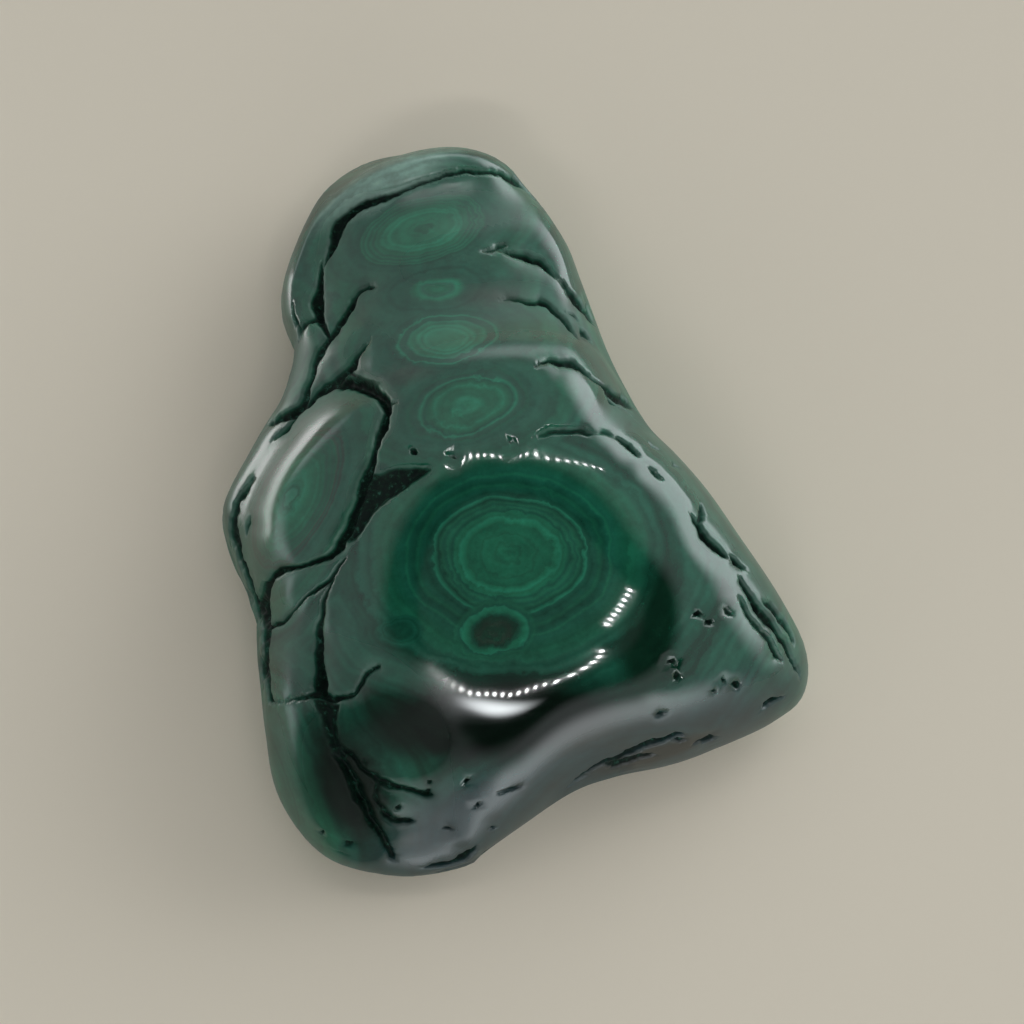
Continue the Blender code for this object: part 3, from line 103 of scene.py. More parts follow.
# Creases on the leaning sheet: each point is x, y, half width.
SHEET_CREASES: Lines = {
    "under the cap": (
        (-21.6, 27.8, 0.10), (-21.2, 29.6, 0.45), (-20.7, 31.6, 0.60), (-19.9, 33.1, 0.65),
        (-18.5, 34.5, 0.60), (-16.8, 35.3, 0.55), (-15.1, 35.8, 0.45), (-12.8, 36.6, 0.35),
        (-10.5, 37.6, 0.30), (-8.7, 38.3, 0.30), (-7.2, 38.8, 0.30), (-5.0, 38.9, 0.35),
        (-2.8, 39.0, 0.30), (-1.1, 38.7, 0.30), (0.3, 38.1, 0.40), (1.7, 37.3, 0.40),
        (3.0, 35.9, 0.30), (3.8, 34.6, 0.05),
    ),
    "left gap": (
        (-21.9, 28.8, 0.10), (-22.1, 27.4, 0.35), (-22.4, 25.6, 0.50), (-22.7, 24.0, 0.75),
        (-22.5, 22.7, 0.70), (-22.0, 21.5, 0.40), (-21.4, 20.2, 0.30),
    ),
    "left gap foot": (
        (-22.6, 22.3, 0.35), (-23.6, 21.8, 0.30), (-24.3, 20.8, 0.30), (-24.8, 19.2, 0.10),
    ),
    "left edge": (
        (-25.4, 24.0, 0.10), (-25.1, 22.4, 0.25), (-24.8, 21.0, 0.30), (-24.6, 19.4, 0.10),
    ),
    "first lobe, left": (
        (-15.6, 25.8, 0.05), (-16.6, 25.6, 0.30), (-17.6, 25.1, 0.25), (-18.3, 24.3, 0.40),
        (-18.8, 23.4, 0.55), (-19.6, 22.2, 0.50), (-20.4, 21.0, 0.50), (-21.2, 20.0, 0.40),
        (-22.1, 18.6, 0.40), (-22.8, 16.9, 0.35), (-23.4, 15.2, 0.35), (-24.0, 13.2, 0.40),
        (-24.6, 12.0, 0.50), (-25.6, 11.3, 0.60), (-26.8, 10.8, 0.50), (-27.8, 10.2, 0.30),
    ),
    "second lobe, left": (
        (-16.3, 19.9, 0.05), (-17.2, 18.9, 0.30), (-18.1, 17.8, 0.35), (-18.7, 16.6, 0.50),
        (-19.4, 15.9, 0.50), (-20.6, 14.9, 0.45), (-21.8, 14.1, 0.40), (-22.8, 13.0, 0.30),
        (-23.7, 12.1, 0.30),
    ),
    "round the left lobe": (
        (-27.6, 8.0, 0.10), (-26.6, 8.9, 0.25), (-25.2, 10.6, 0.30), (-23.4, 12.6, 0.35),
        (-22.0, 13.8, 0.45), (-20.6, 14.5, 0.50), (-19.2, 14.7, 0.60), (-17.5, 14.5, 0.70),
        (-16.1, 13.9, 0.70), (-14.9, 12.9, 0.65), (-14.5, 11.4, 0.60), (-15.0, 9.8, 0.60),
        (-15.7, 8.4, 0.50), (-16.1, 7.0, 0.40), (-16.4, 5.4, 0.50), (-16.8, 4.0, 0.60),
        (-17.5, 2.2, 0.60), (-18.0, 0.6, 0.55), (-18.5, -1.0, 0.60), (-19.1, -2.6, 0.60),
        (-20.0, -4.2, 0.60), (-21.4, -5.5, 0.45), (-23.4, -6.2, 0.35), (-25.1, -6.6, 0.35),
        (-26.6, -6.8, 0.50), (-27.7, -7.6, 0.45), (-28.5, -8.8, 0.50), (-28.9, -10.4, 0.60),
        (-28.8, -12.2, 0.80), (-28.5, -13.8, 0.55), (-28.6, -15.8, 0.35),
        (-28.6, -18.0, 0.40), (-28.3, -20.2, 0.40), (-27.9, -21.8, 0.35),
        (-27.4, -22.3, 0.10),
    ),
    "far left rim": (
        (-29.4, 4.2, 0.05), (-30.4, 2.6, 0.25), (-31.6, 1.0, 0.30), (-32.2, -1.0, 0.40),
        (-32.1, -3.2, 0.40), (-31.4, -5.7, 0.45), (-30.7, -7.6, 0.35), (-30.0, -10.0, 0.40),
        (-29.4, -11.8, 0.45), (-28.9, -12.4, 0.40),
    ),
    "left slit": ((-30.2, -0.6, 0.05), (-30.4, -1.6, 0.25), (-30.7, -2.8, 0.10)),
    "first and second lobe, upper": (
        (-4.4, 29.8, 0.03), (-2.8, 29.9, 0.20), (-1.7, 30.3, 0.25), (-0.7, 30.6, 0.20),
        (0.2, 30.8, 0.03),
    ),
    "first and second lobe": (
        (-1.6, 30.0, 0.10), (0.0, 29.6, 0.30), (1.7, 29.3, 0.45), (3.1, 28.8, 0.40),
        (4.2, 27.8, 0.30), (5.2, 26.8, 0.12), (6.7, 25.2, 0.25), (7.6, 24.3, 0.45),
        (8.2, 23.6, 0.55), (8.9, 22.6, 0.45), (9.6, 21.5, 0.25), (10.0, 20.8, 0.05),
    ),
    "second and third lobe": (
        (-2.2, 24.0, 0.03), (-1.0, 24.2, 0.15), (0.2, 24.3, 0.20), (1.7, 24.1, 0.30),
        (3.2, 24.1, 0.35), (4.4, 23.5, 0.30), (5.6, 22.3, 0.25), (6.7, 20.9, 0.25),
        (7.7, 19.7, 0.05),
    ),
    "third lobe slot": ((7.6, 21.2, 0.05), (8.2, 20.4, 0.30), (9.2, 19.1, 0.05)),
    "third lobe loop": (
        (6.3, 22.8, 0.10), (7.0, 22.6, 0.20), (7.6, 21.9, 0.15), (7.4, 21.3, 0.05),
    ),
    "third and fourth lobe": (
        (1.6, 16.3, 0.03), (3.3, 17.1, 0.20), (4.4, 17.4, 0.35), (5.5, 17.2, 0.45),
        (6.7, 17.1, 0.40), (8.1, 16.3, 0.30), (9.1, 15.4, 0.20), (10.6, 14.3, 0.25),
        (11.6, 13.5, 0.45), (12.6, 12.9, 0.50), (13.6, 12.2, 0.35), (14.4, 11.4, 0.05),
    ),
    "fourth lobe, right": (
        (10.9, 13.6, 0.05), (11.6, 12.6, 0.25), (12.8, 11.8, 0.15), (14.2, 10.7, 0.05),
    ),
    "fourth lobe slit": ((-14.8, 12.7, 0.30), (-13.6, 12.6, 0.20), (-12.6, 12.6, 0.03)),
    "above the dome, left": ((-7.4, 6.2, 0.05), (-6.8, 6.2, 0.20), (-6.1, 6.0, 0.05)),
    "above the dome": ((-1.2, 7.5, 0.03), (-0.2, 7.7, 0.15), (0.6, 7.7, 0.03)),
    "above the dome, right": (
        (12.2, 8.4, 0.20), (13.4, 7.6, 0.30), (14.2, 6.8, 0.30), (14.9, 6.0, 0.05),
    ),
    "right flank one": ((15.5, 5.5, 0.05), (16.4, 4.5, 0.25), (17.6, 3.0, 0.05)),
    "right flank two": ((15.6, 8.1, 0.05), (16.3, 7.4, 0.20), (17.1, 6.7, 0.05)),
    "right flank three": ((18.2, 5.8, 0.05), (18.7, 5.3, 0.20), (19.2, 4.8, 0.05)),
    "right flank four": (
        (20.4, 0.1, 0.05), (21.3, -1.3, 0.35), (22.4, -2.9, 0.45), (23.5, -4.2, 0.45),
        (24.6, -5.2, 0.35), (25.2, -5.7, 0.05),
    ),
    "right flank fork": (
        (21.6, 1.2, 0.05), (21.9, 0.3, 0.30), (22.0, -0.8, 0.30), (21.8, -1.6, 0.20),
    ),
    "right flank five": (
        (25.2, -5.0, 0.10), (25.9, -5.9, 0.40), (26.6, -6.6, 0.30), (27.3, -7.0, 0.05),
    ),
    "corner crease": (
        (25.9, -7.3, 0.05), (26.4, -8.2, 0.30), (27.3, -9.6, 0.40), (28.4, -11.1, 0.50),
        (29.5, -12.4, 0.45), (30.4, -13.7, 0.40), (31.4, -15.2, 0.35), (32.2, -16.6, 0.30),
        (32.9, -18.4, 0.20), (33.2, -19.4, 0.05),
    ),
    "corner crease, inner": (
        (25.8, -9.6, 0.05), (26.6, -11.1, 0.25), (27.8, -12.6, 0.30), (28.9, -13.8, 0.25),
        (29.8, -15.4, 0.30), (30.5, -16.8, 0.30), (31.4, -17.8, 0.05),
    ),
    "corner crease, outer": (
        (28.9, -9.9, 0.05), (29.8, -11.0, 0.30), (30.9, -12.3, 0.30), (31.8, -13.6, 0.30),
        (32.5, -15.0, 0.20), (32.7, -15.6, 0.05),
    ),
    "corner slot": (
        (28.4, -23.0, 0.03), (29.2, -22.5, 0.30), (30.3, -22.0, 0.35), (31.4, -21.4, 0.10),
    ),
    "near slot": ((16.0, -24.2, 0.03), (17.0, -23.5, 0.25), (18.0, -23.0, 0.05)),
    "near edge": (
        (6.4, -31.9, 0.10), (7.8, -31.0, 0.25), (9.2, -30.1, 0.30), (10.4, -29.5, 0.30),
        (11.8, -28.9, 0.35), (13.1, -28.3, 0.40), (14.6, -27.7, 0.35), (16.2, -27.0, 0.40),
        (17.6, -26.6, 0.35), (19.0, -26.1, 0.30), (20.0, -25.8, 0.05),
    ),
    "near edge, lower": (
        (10.9, -29.7, 0.20), (12.2, -29.4, 0.40), (13.8, -29.0, 0.35), (15.4, -28.4, 0.25),
        (16.8, -28.0, 0.05),
    ),
    "near edge, dash": ((18.5, -26.8, 0.05), (19.2, -26.6, 0.25), (20.1, -26.3, 0.05)),
    "near edge, right": (
        (20.6, -27.2, 0.05), (21.6, -26.8, 0.30), (22.8, -26.3, 0.30), (23.8, -26.1, 0.05),
    ),
    "small lobe, below": (
        (-28.9, -13.6, 0.30), (-27.6, -13.4, 0.35), (-26.6, -12.9, 0.30),
        (-25.4, -11.6, 0.20), (-23.6, -9.9, 0.25), (-22.4, -8.9, 0.35), (-21.0, -8.2, 0.30),
        (-20.2, -7.0, 0.25), (-19.4, -5.6, 0.20),
    ),
    "left of the crescent": (
        (-20.1, -7.2, 0.15), (-21.1, -9.2, 0.25), (-21.9, -11.2, 0.30), (-22.4, -13.4, 0.40),
        (-22.5, -15.4, 0.50), (-22.5, -17.4, 0.60), (-22.4, -19.2, 0.80),
        (-22.2, -20.8, 0.80),
    ),
    "under the crescent": (
        (-27.6, -22.2, 0.15), (-26.2, -21.9, 0.12), (-24.9, -21.7, 0.25),
        (-23.6, -21.2, 0.35), (-22.2, -21.0, 0.60), (-20.9, -21.6, 0.50),
        (-19.4, -21.5, 0.35), (-18.3, -21.1, 0.30), (-17.5, -20.1, 0.30),
        (-16.5, -18.8, 0.30), (-15.5, -18.0, 0.30), (-14.8, -17.7, 0.05),
    ),
    "nodule, below": (
        (-20.2, -26.8, 0.30), (-19.2, -27.8, 0.40), (-18.0, -28.7, 0.35),
        (-16.7, -30.1, 0.35), (-15.3, -31.3, 0.40), (-13.7, -31.8, 0.40),
        (-11.9, -32.2, 0.30), (-10.5, -32.6, 0.35), (-9.5, -32.9, 0.40), (-8.9, -33.0, 0.05),
    ),
    "near left valley": (
        (-20.4, -28.2, 0.40), (-19.0, -30.2, 0.70), (-17.9, -32.2, 0.80),
        (-17.0, -34.0, 0.80), (-16.2, -35.6, 0.70), (-15.3, -36.8, 0.60),
        (-14.8, -37.8, 0.60), (-14.4, -38.8, 0.50), (-13.8, -40.0, 0.40),
        (-13.3, -40.6, 0.10),
    ),
    "island, left": (
        (-15.4, -31.6, 0.30), (-15.7, -32.6, 0.30), (-15.3, -33.6, 0.30),
        (-14.6, -34.6, 0.35), (-14.6, -35.1, 0.40), (-13.6, -35.6, 0.40),
        (-12.6, -35.8, 0.35), (-11.4, -35.8, 0.30), (-10.9, -35.7, 0.05),
    ),
    "near slot, long": (
        (-2.2, -32.5, 0.03), (-0.8, -32.3, 0.15), (0.4, -32.1, 0.20), (1.7, -31.8, 0.03),
    ),
    "near dash one": ((-7.9, -36.7, 0.05), (-7.3, -36.6, 0.20), (-6.8, -36.5, 0.05)),
    "near dash two": ((-2.9, -36.7, 0.05), (-2.3, -36.5, 0.20), (-1.8, -36.4, 0.05)),
    "near notch": (
        (-10.4, -41.2, 0.10), (-8.6, -41.1, 0.30), (-7.0, -40.9, 0.40), (-5.6, -40.2, 0.45),
        (-4.6, -39.4, 0.40), (-3.9, -38.6, 0.10),
    ),
}

# Hollows on the leaning sheet: depth, then the corners of the hollow.
SHEET_HOLLOWS: Hollows = {
    "between dome and left lobe": (1.1, (
        (-17.0, 4.9), (-15.4, 4.6), (-13.6, 5.2), (-11.6, 5.3), (-9.6, 5.3), (-8.2, 4.9),
        (-9.9, 3.5), (-11.6, 2.5), (-12.8, 1.7), (-14.2, 0.8), (-15.5, -0.4),
        (-16.6, -2.0), (-17.6, -3.6), (-18.6, -4.4), (-19.6, -4.0), (-18.8, -2.0),
        (-18.1, 0.2), (-17.5, 2.4),
    )),
    "above the dome": (0.9, (
        (1.8, 8.2), (3.0, 9.0), (4.5, 9.6), (6.5, 9.9), (8.0, 9.8), (9.3, 9.3),
        (10.9, 9.6), (12.0, 8.9), (12.9, 7.9), (12.2, 7.7), (11.0, 8.1), (10.0, 8.5),
        (8.6, 8.1), (7.0, 8.4), (5.5, 8.3), (4.2, 8.0), (3.0, 7.9),
    )),
    "left of the third lobe": (1.0, (
        (-19.0, 17.0), (-18.2, 16.2), (-16.9, 15.7), (-15.4, 15.3), (-13.6, 15.3),
        (-14.6, 14.7), (-15.4, 14.0), (-16.6, 14.2), (-18.0, 14.7), (-19.4, 15.0),
        (-19.6, 15.9),
    )),
    "left of the nodule": (1.3, (
        (-23.6, -21.6), (-22.6, -21.2), (-21.0, -21.4), (-19.4, -22.0), (-19.6, -23.4),
        (-19.8, -24.6), (-19.7, -25.8), (-19.3, -27.2), (-18.4, -28.4), (-19.4, -29.4),
        (-20.4, -29.6), (-21.0, -28.6), (-21.7, -26.7), (-22.4, -24.4), (-23.2, -22.6),
    )),
}

# Pits on the leaning sheet: x, y, half length, half width, turn in degrees.
SHEET_PITS: Pits = (
    (21.4, -11.9, 1.1, 0.5, 20.0), (22.6, -12.8, 0.7, 0.5, -40.0),
    (25.1, -11.6, 0.8, 0.35, -50.0), (25.1, -14.8, 0.4, 0.35, 0.0),
    (18.2, -17.4, 0.7, 0.4, 15.0), (19.2, -17.6, 0.45, 0.35, 0.0),
    (22.9, -17.5, 0.4, 0.35, 20.0), (24.2, -19.8, 0.65, 0.45, 30.0),
    (25.9, -20.1, 0.6, 0.5, 0.0), (23.3, -21.0, 0.35, 0.3, 0.0),
    (19.1, -19.2, 0.8, 0.4, 85.0), (-5.0, -31.1, 0.55, 0.45, 0.0),
    (-12.0, -30.7, 0.4, 0.35, 0.0), (-9.5, -31.3, 0.4, 0.4, 0.0),
    (-9.6, -32.4, 0.45, 0.45, 0.0), (-16.9, -28.8, 0.8, 0.35, -55.0),
    (-18.7, -38.4, 0.65, 0.45, 0.0), (-19.6, -39.5, 0.4, 0.3, 0.0),
    (-21.9, -36.9, 0.35, 0.35, 0.0), (-13.1, -34.3, 0.45, 0.45, 0.0),
    (-4.0, -33.9, 0.35, 0.3, 0.0), (-11.3, 6.7, 0.5, 0.4, 90.0),
)

# Creases on the unrolled wall: each point is the angle in degrees, the height, and the
# half width.
WALL_CREASES: Lines = {
    "far, one": (
        (84.0, 12.0, 0.3), (82.0, 9.5, 0.5), (85.0, 6.0, 0.6), (83.0, 3.0, 0.4),
        (84.0, 1.0, 0.1),
    ),
    "far, two": (
        (92.0, 7.5, 0.1), (97.0, 8.5, 0.45), (103.0, 7.0, 0.6), (107.0, 4.0, 0.5),
        (108.0, 1.2, 0.1),
    ),
    "far, three": (
        (103.0, 7.2, 0.3), (109.0, 8.6, 0.5), (115.0, 8.4, 0.5), (120.0, 9.8, 0.3),
        (124.0, 11.5, 0.1),
    ),
    "far left, one": (
        (128.0, 12.5, 0.1), (129.0, 9.5, 0.5), (127.0, 6.5, 0.6), (130.0, 3.5, 0.5),
        (129.0, 1.0, 0.1),
    ),
    "far left, two": (
        (136.0, 13.0, 0.2), (137.5, 10.0, 0.6), (140.5, 7.0, 0.7), (140.0, 4.0, 0.5),
        (142.0, 1.0, 0.1),
    ),
    "far left, three": (
        (146.0, 13.5, 0.2), (148.5, 10.5, 0.7), (151.0, 8.0, 0.9), (156.0, 6.5, 0.6),
        (161.0, 6.0, 0.2),
    ),
    "left, one": (
        (151.0, 8.0, 0.6), (150.0, 5.0, 0.6), (152.5, 2.5, 0.4), (152.0, 0.8, 0.1),
    ),
    "left, two": (
        (166.0, 10.5, 0.1), (169.0, 8.0, 0.5), (174.0, 6.6, 0.6), (179.0, 5.0, 0.6),
        (181.0, 2.5, 0.4), (181.0, 0.8, 0.1),
    ),
    "left, three": (
        (174.0, 6.6, 0.3), (178.0, 8.6, 0.5), (184.0, 9.4, 0.5), (189.0, 8.0, 0.6),
        (192.0, 5.0, 0.6), (191.0, 2.0, 0.4), (191.0, 0.8, 0.1),
    ),
    "left, four": (
        (198.0, 9.0, 0.1), (200.0, 6.5, 0.5), (204.0, 4.0, 0.5), (204.0, 1.2, 0.1),
    ),
    "near left, one": (
        (212.0, 6.0, 0.1), (216.0, 5.2, 0.4), (221.0, 5.6, 0.4), (226.0, 4.2, 0.4),
        (229.0, 2.0, 0.1),
    ),
    "near left, two": (
        (246.0, 5.0, 0.1), (248.0, 3.6, 0.4), (252.0, 3.0, 0.4), (256.0, 3.4, 0.1),
    ),
    "near, one": (
        (276.0, 5.5, 0.1), (280.0, 4.4, 0.4), (286.0, 4.2, 0.5), (292.0, 3.0, 0.4),
        (297.0, 2.6, 0.1),
    ),
    "near right, one": (
        (312.0, 5.0, 0.1), (316.0, 3.8, 0.4), (322.0, 4.4, 0.5), (327.0, 3.2, 0.1),
    ),
    "right, one": (
        (338.0, 6.0, 0.1), (341.0, 4.0, 0.4), (346.0, 3.2, 0.5), (351.0, 3.8, 0.1),
    ),
    "right, two": (
        (4.0, 5.5, 0.1), (8.0, 4.2, 0.5), (14.0, 4.8, 0.5), (20.0, 3.6, 0.4),
        (25.0, 3.4, 0.1),
    ),
    "right, three": (
        (36.0, 7.0, 0.1), (40.0, 5.2, 0.5), (47.0, 5.0, 0.6), (53.0, 3.4, 0.4),
        (57.0, 1.6, 0.1),
    ),
    "far right, one": (
        (64.0, 9.5, 0.1), (66.0, 7.0, 0.5), (70.0, 5.2, 0.6), (71.0, 2.5, 0.4),
        (70.0, 1.0, 0.1),
    ),
}

# Pits on the unrolled wall: angle in degrees, height, half length, half width, turn.
WALL_PITS: Pits = (
    (76.0, 8.6, 0.9, 0.5, 20.0), (78.0, 4.2, 0.6, 0.5, 0.0), (99.0, 4.4, 0.7, 0.5, 60.0),
    (114.0, 5.0, 0.9, 0.5, -30.0), (120.0, 5.6, 0.6, 0.5, 0.0), (134.0, 6.2, 0.7, 0.5, 80.0),
    (145.0, 6.0, 0.6, 0.5, 10.0), (160.0, 9.2, 0.8, 0.5, -20.0), (166.0, 4.0, 0.9, 0.6, 10.0),
    (186.0, 5.4, 0.7, 0.5, 70.0), (208.0, 8.0, 0.7, 0.4, 30.0), (236.0, 4.6, 0.8, 0.5, 15.0),
    (266.0, 4.4, 0.7, 0.5, -15.0), (304.0, 4.6, 0.8, 0.5, 20.0), (30.0, 5.6, 0.7, 0.4, -40.0),
    (60.0, 6.0, 0.7, 0.5, 50.0),
)


class Place(Enum):
    """The surface that a growth centre is given on."""

    SHEET = "leaning sheet"
    WALL = "unrolled wall"
    BASE = "sawn base"


class Tone(Enum):
    """The greens of the bands, as sRGB hex values, from the deepest to the palest; the pale
    grey-green among them is a painted highlight.
    """

    INK = "08170f"
    NIGHT = "0b2c1e"
    SLATE = "143234"
    DEEP = "0e3a29"
    DARK = "134837"
    TEAL = "15463f"
    MID = "175341"
    MIST = "215745"
    GREEN = "1a5f46"
    VIVID = "1b6a4e"
    BRIGHT = "20775a"
    PALE = "348a6d"
    # Painted highlight: a pale grey-green that stands in for the soft reflection on the far crest.
    PAINTED_HIGHLIGHT = "7a9b8d"
    BROWN = "22362a"
    UMBER = "30473b"

    @property
    def colour(self) -> Colour:
        """The tone as a linear colour."""
        return linear(self.value)


def linear(code: str) -> Colour:
    """Turn an sRGB hex value into a linear colour.

    Args:
        code: six hex digits.

    Returns:
        Red, green, blue and an alpha of one.
    """
    parts = [int(code[place:place + 2], 16) / 255.0 for place in (0, 2, 4)]
    red, green, blue = [p / 12.92 if p <= 0.04045 else ((p + 0.055) / 1.055) ** 2.4 for p in parts]
    return red, green, blue, 1.0


def add_node(tree: bpy.types.NodeTree, kind: str, settings: dict | None = None,
             links: dict | None = None) -> bpy.types.Node:
    """Add a node to a tree, set it and link it.

    Args:
        tree: the node tree.
        kind: the node's type.
        settings: values by the name of a property, or by the name or number of an input.
            "stops" gives a ramp's colours as pairs of place and colour.
        links: the sockets to link to inputs, by their names or numbers.

    Returns:
        The new node.
    """
    node = tree.nodes.new(kind)
    for name, value in (settings or {}).items():
        if name == "stops":
            elements = node.color_ramp.elements
            while len(elements) < len(value):
                elements.new(1.0)
            while len(elements) > len(value):
                elements.remove(elements[-1])
            for element, (place, colour) in zip(elements, value):
                element.position = place
                element.color = colour
        elif isinstance(name, str) and hasattr(node, name):
            setattr(node, name, value)
        else:
            node.inputs[name].default_value = value
    for name, socket in (links or {}).items():
        tree.links.new(socket, node.inputs[name])
    return node


def closed_curve(points: tuple[Point2, ...], steps: int = 10) -> np.ndarray:
    """Lay a smooth closed curve through points.

    Args:
        points: the points in order.
        steps: how many short lines join two points.

    Returns:
        The points of the curve, one row each.
    """
    knots = np.array(points, float)
    curve = []
    for i in range(len(knots)):
        a, b = knots[i - 1], knots[i]
        c, e = knots[(i + 1) % len(knots)], knots[(i + 2) % len(knots)]
        for k in range(steps):
            t = k / steps
            curve.append(0.5 * (2 * b + (c - a) * t + (2 * a - 5 * b + 4 * c - e) * t ** 2
                                + (3 * b - a - 3 * c + e) * t ** 3))
    return np.array(curve)


def soft_min(a: np.ndarray, b: np.ndarray, width: float) -> np.ndarray:
    """Take the smaller of two arrays with the corner rounded off.

    Args:
        a: one array.
        b: the other array.
        width: how far the rounding reaches.

    Returns:
        The rounded minimum.
    """
    low = np.minimum(a, b)
    return low - width * np.log(np.exp((low - a) / width) + np.exp((low - b) / width))


def soft_max(a: np.ndarray, b: np.ndarray, width: float) -> np.ndarray:
    """Take the larger of two arrays with the corner rounded off."""
    return -soft_min(-a, -b, width)


def smooth_step(low: float, high: float, value: np.ndarray) -> np.ndarray:
    """Ramp evenly from 0 at low to 1 at high."""
    t = np.clip((value - low) / (high - low), 0.0, 1.0)
    return t * t * (3.0 - 2.0 * t)


def unit(vectors: np.ndarray) -> np.ndarray:
    """Scale each row to length one."""
    return vectors / np.linalg.norm(vectors, axis=1)[:, None]


def crumbled(points: np.ndarray, grain: float, reach: float) -> np.ndarray:
    """Work out small steady shifts that roughen what is drawn on the stone.

    Args:
        points: places on the stone.
        grain: size of the crumbs.
        reach: how far a place is shifted at most.

    Returns:
        A shift for each place.
    """
    return reach * np.array([noise.noise_vector(Vector(point) / grain) for point in points.tolist()])


@dataclass(frozen=True)
class Lobe:
    """A raised lobe of the top, an ellipsoid sunk into the stone.

    Attributes:
        middle: middle of the face that shows.
        compass: compass direction of that face in degrees.
        rise: how steeply the face looks up, in degrees.
        turn: turn of the long axis in degrees.
        halves: half sizes along, across and through the lobe.
        join: width of the soft join to the rest.
    """

    middle: Point3
    compass: float
    rise: float
    turn: float
    halves: Point3
    join: float

    def axes(self) -> np.ndarray:
        """The lobe's own three directions, one row each."""
        compass, rise = math.radians(self.compass), math.radians(self.rise)
        out = np.array([math.cos(rise) * math.cos(compass),
                        math.cos(rise) * math.sin(compass), math.sin(rise)])
        across = np.array([1.0, 0.0, 0.0]) - out * out[0]
        across /= np.linalg.norm(across)
        along = np.cross(out, across)
        turn = math.radians(self.turn)
        first = across * math.cos(turn) + along * math.sin(turn)
        second = along * math.cos(turn) - across * math.sin(turn)
        return np.stack([first, second, out])

    def above(self, points: np.ndarray) -> np.ndarray:
        """Measure how far points are outside the lobe.

        Args:
            points: places in the stone's millimetres.

        Returns:
            A distance for each point, negative inside.
        """
        axes = self.axes()
        halves = np.array(self.halves)
        local = (points - (np.array(self.middle) - axes[2] * halves[2])) @ axes.T
        near = np.linalg.norm(local / halves, axis=1)
        steep = np.linalg.norm(local / halves ** 2, axis=1) + 1e-9
        return near * (near - 1.0) / steep


LOBES = (
    Lobe((0.7, -13.9, 23.8), -90.0, 70.5, 0.0, (28.5, 31.0, 16.5), 1.4),        # dome
    Lobe((25.0, -16.3, 15.2), -35.0, 58.0, 0.0, (13.0, 12.0, 8.0), 3.0),        # corner
    Lobe((-24.0, 1.5, 18.4), 172.0, 62.0, 62.0, (14.5, 8.8, 6.0), 1.2),         # left lobe
    Lobe((-19.5, -29.6, 14.6), -120.0, 70.0, 95.0, (13.0, 9.5, 9.0), 1.2),      # near left
    Lobe((-11.0, 46.4, 14.2), 106.0, 52.0, 12.0, (13.0, 6.0, 6.0), 1.0),        # cap
    Lobe((-15.3, -25.0, 16.4), -118.0, 66.0, 20.0, (6.5, 5.0, 4.5), 0.8),       # nodule
)


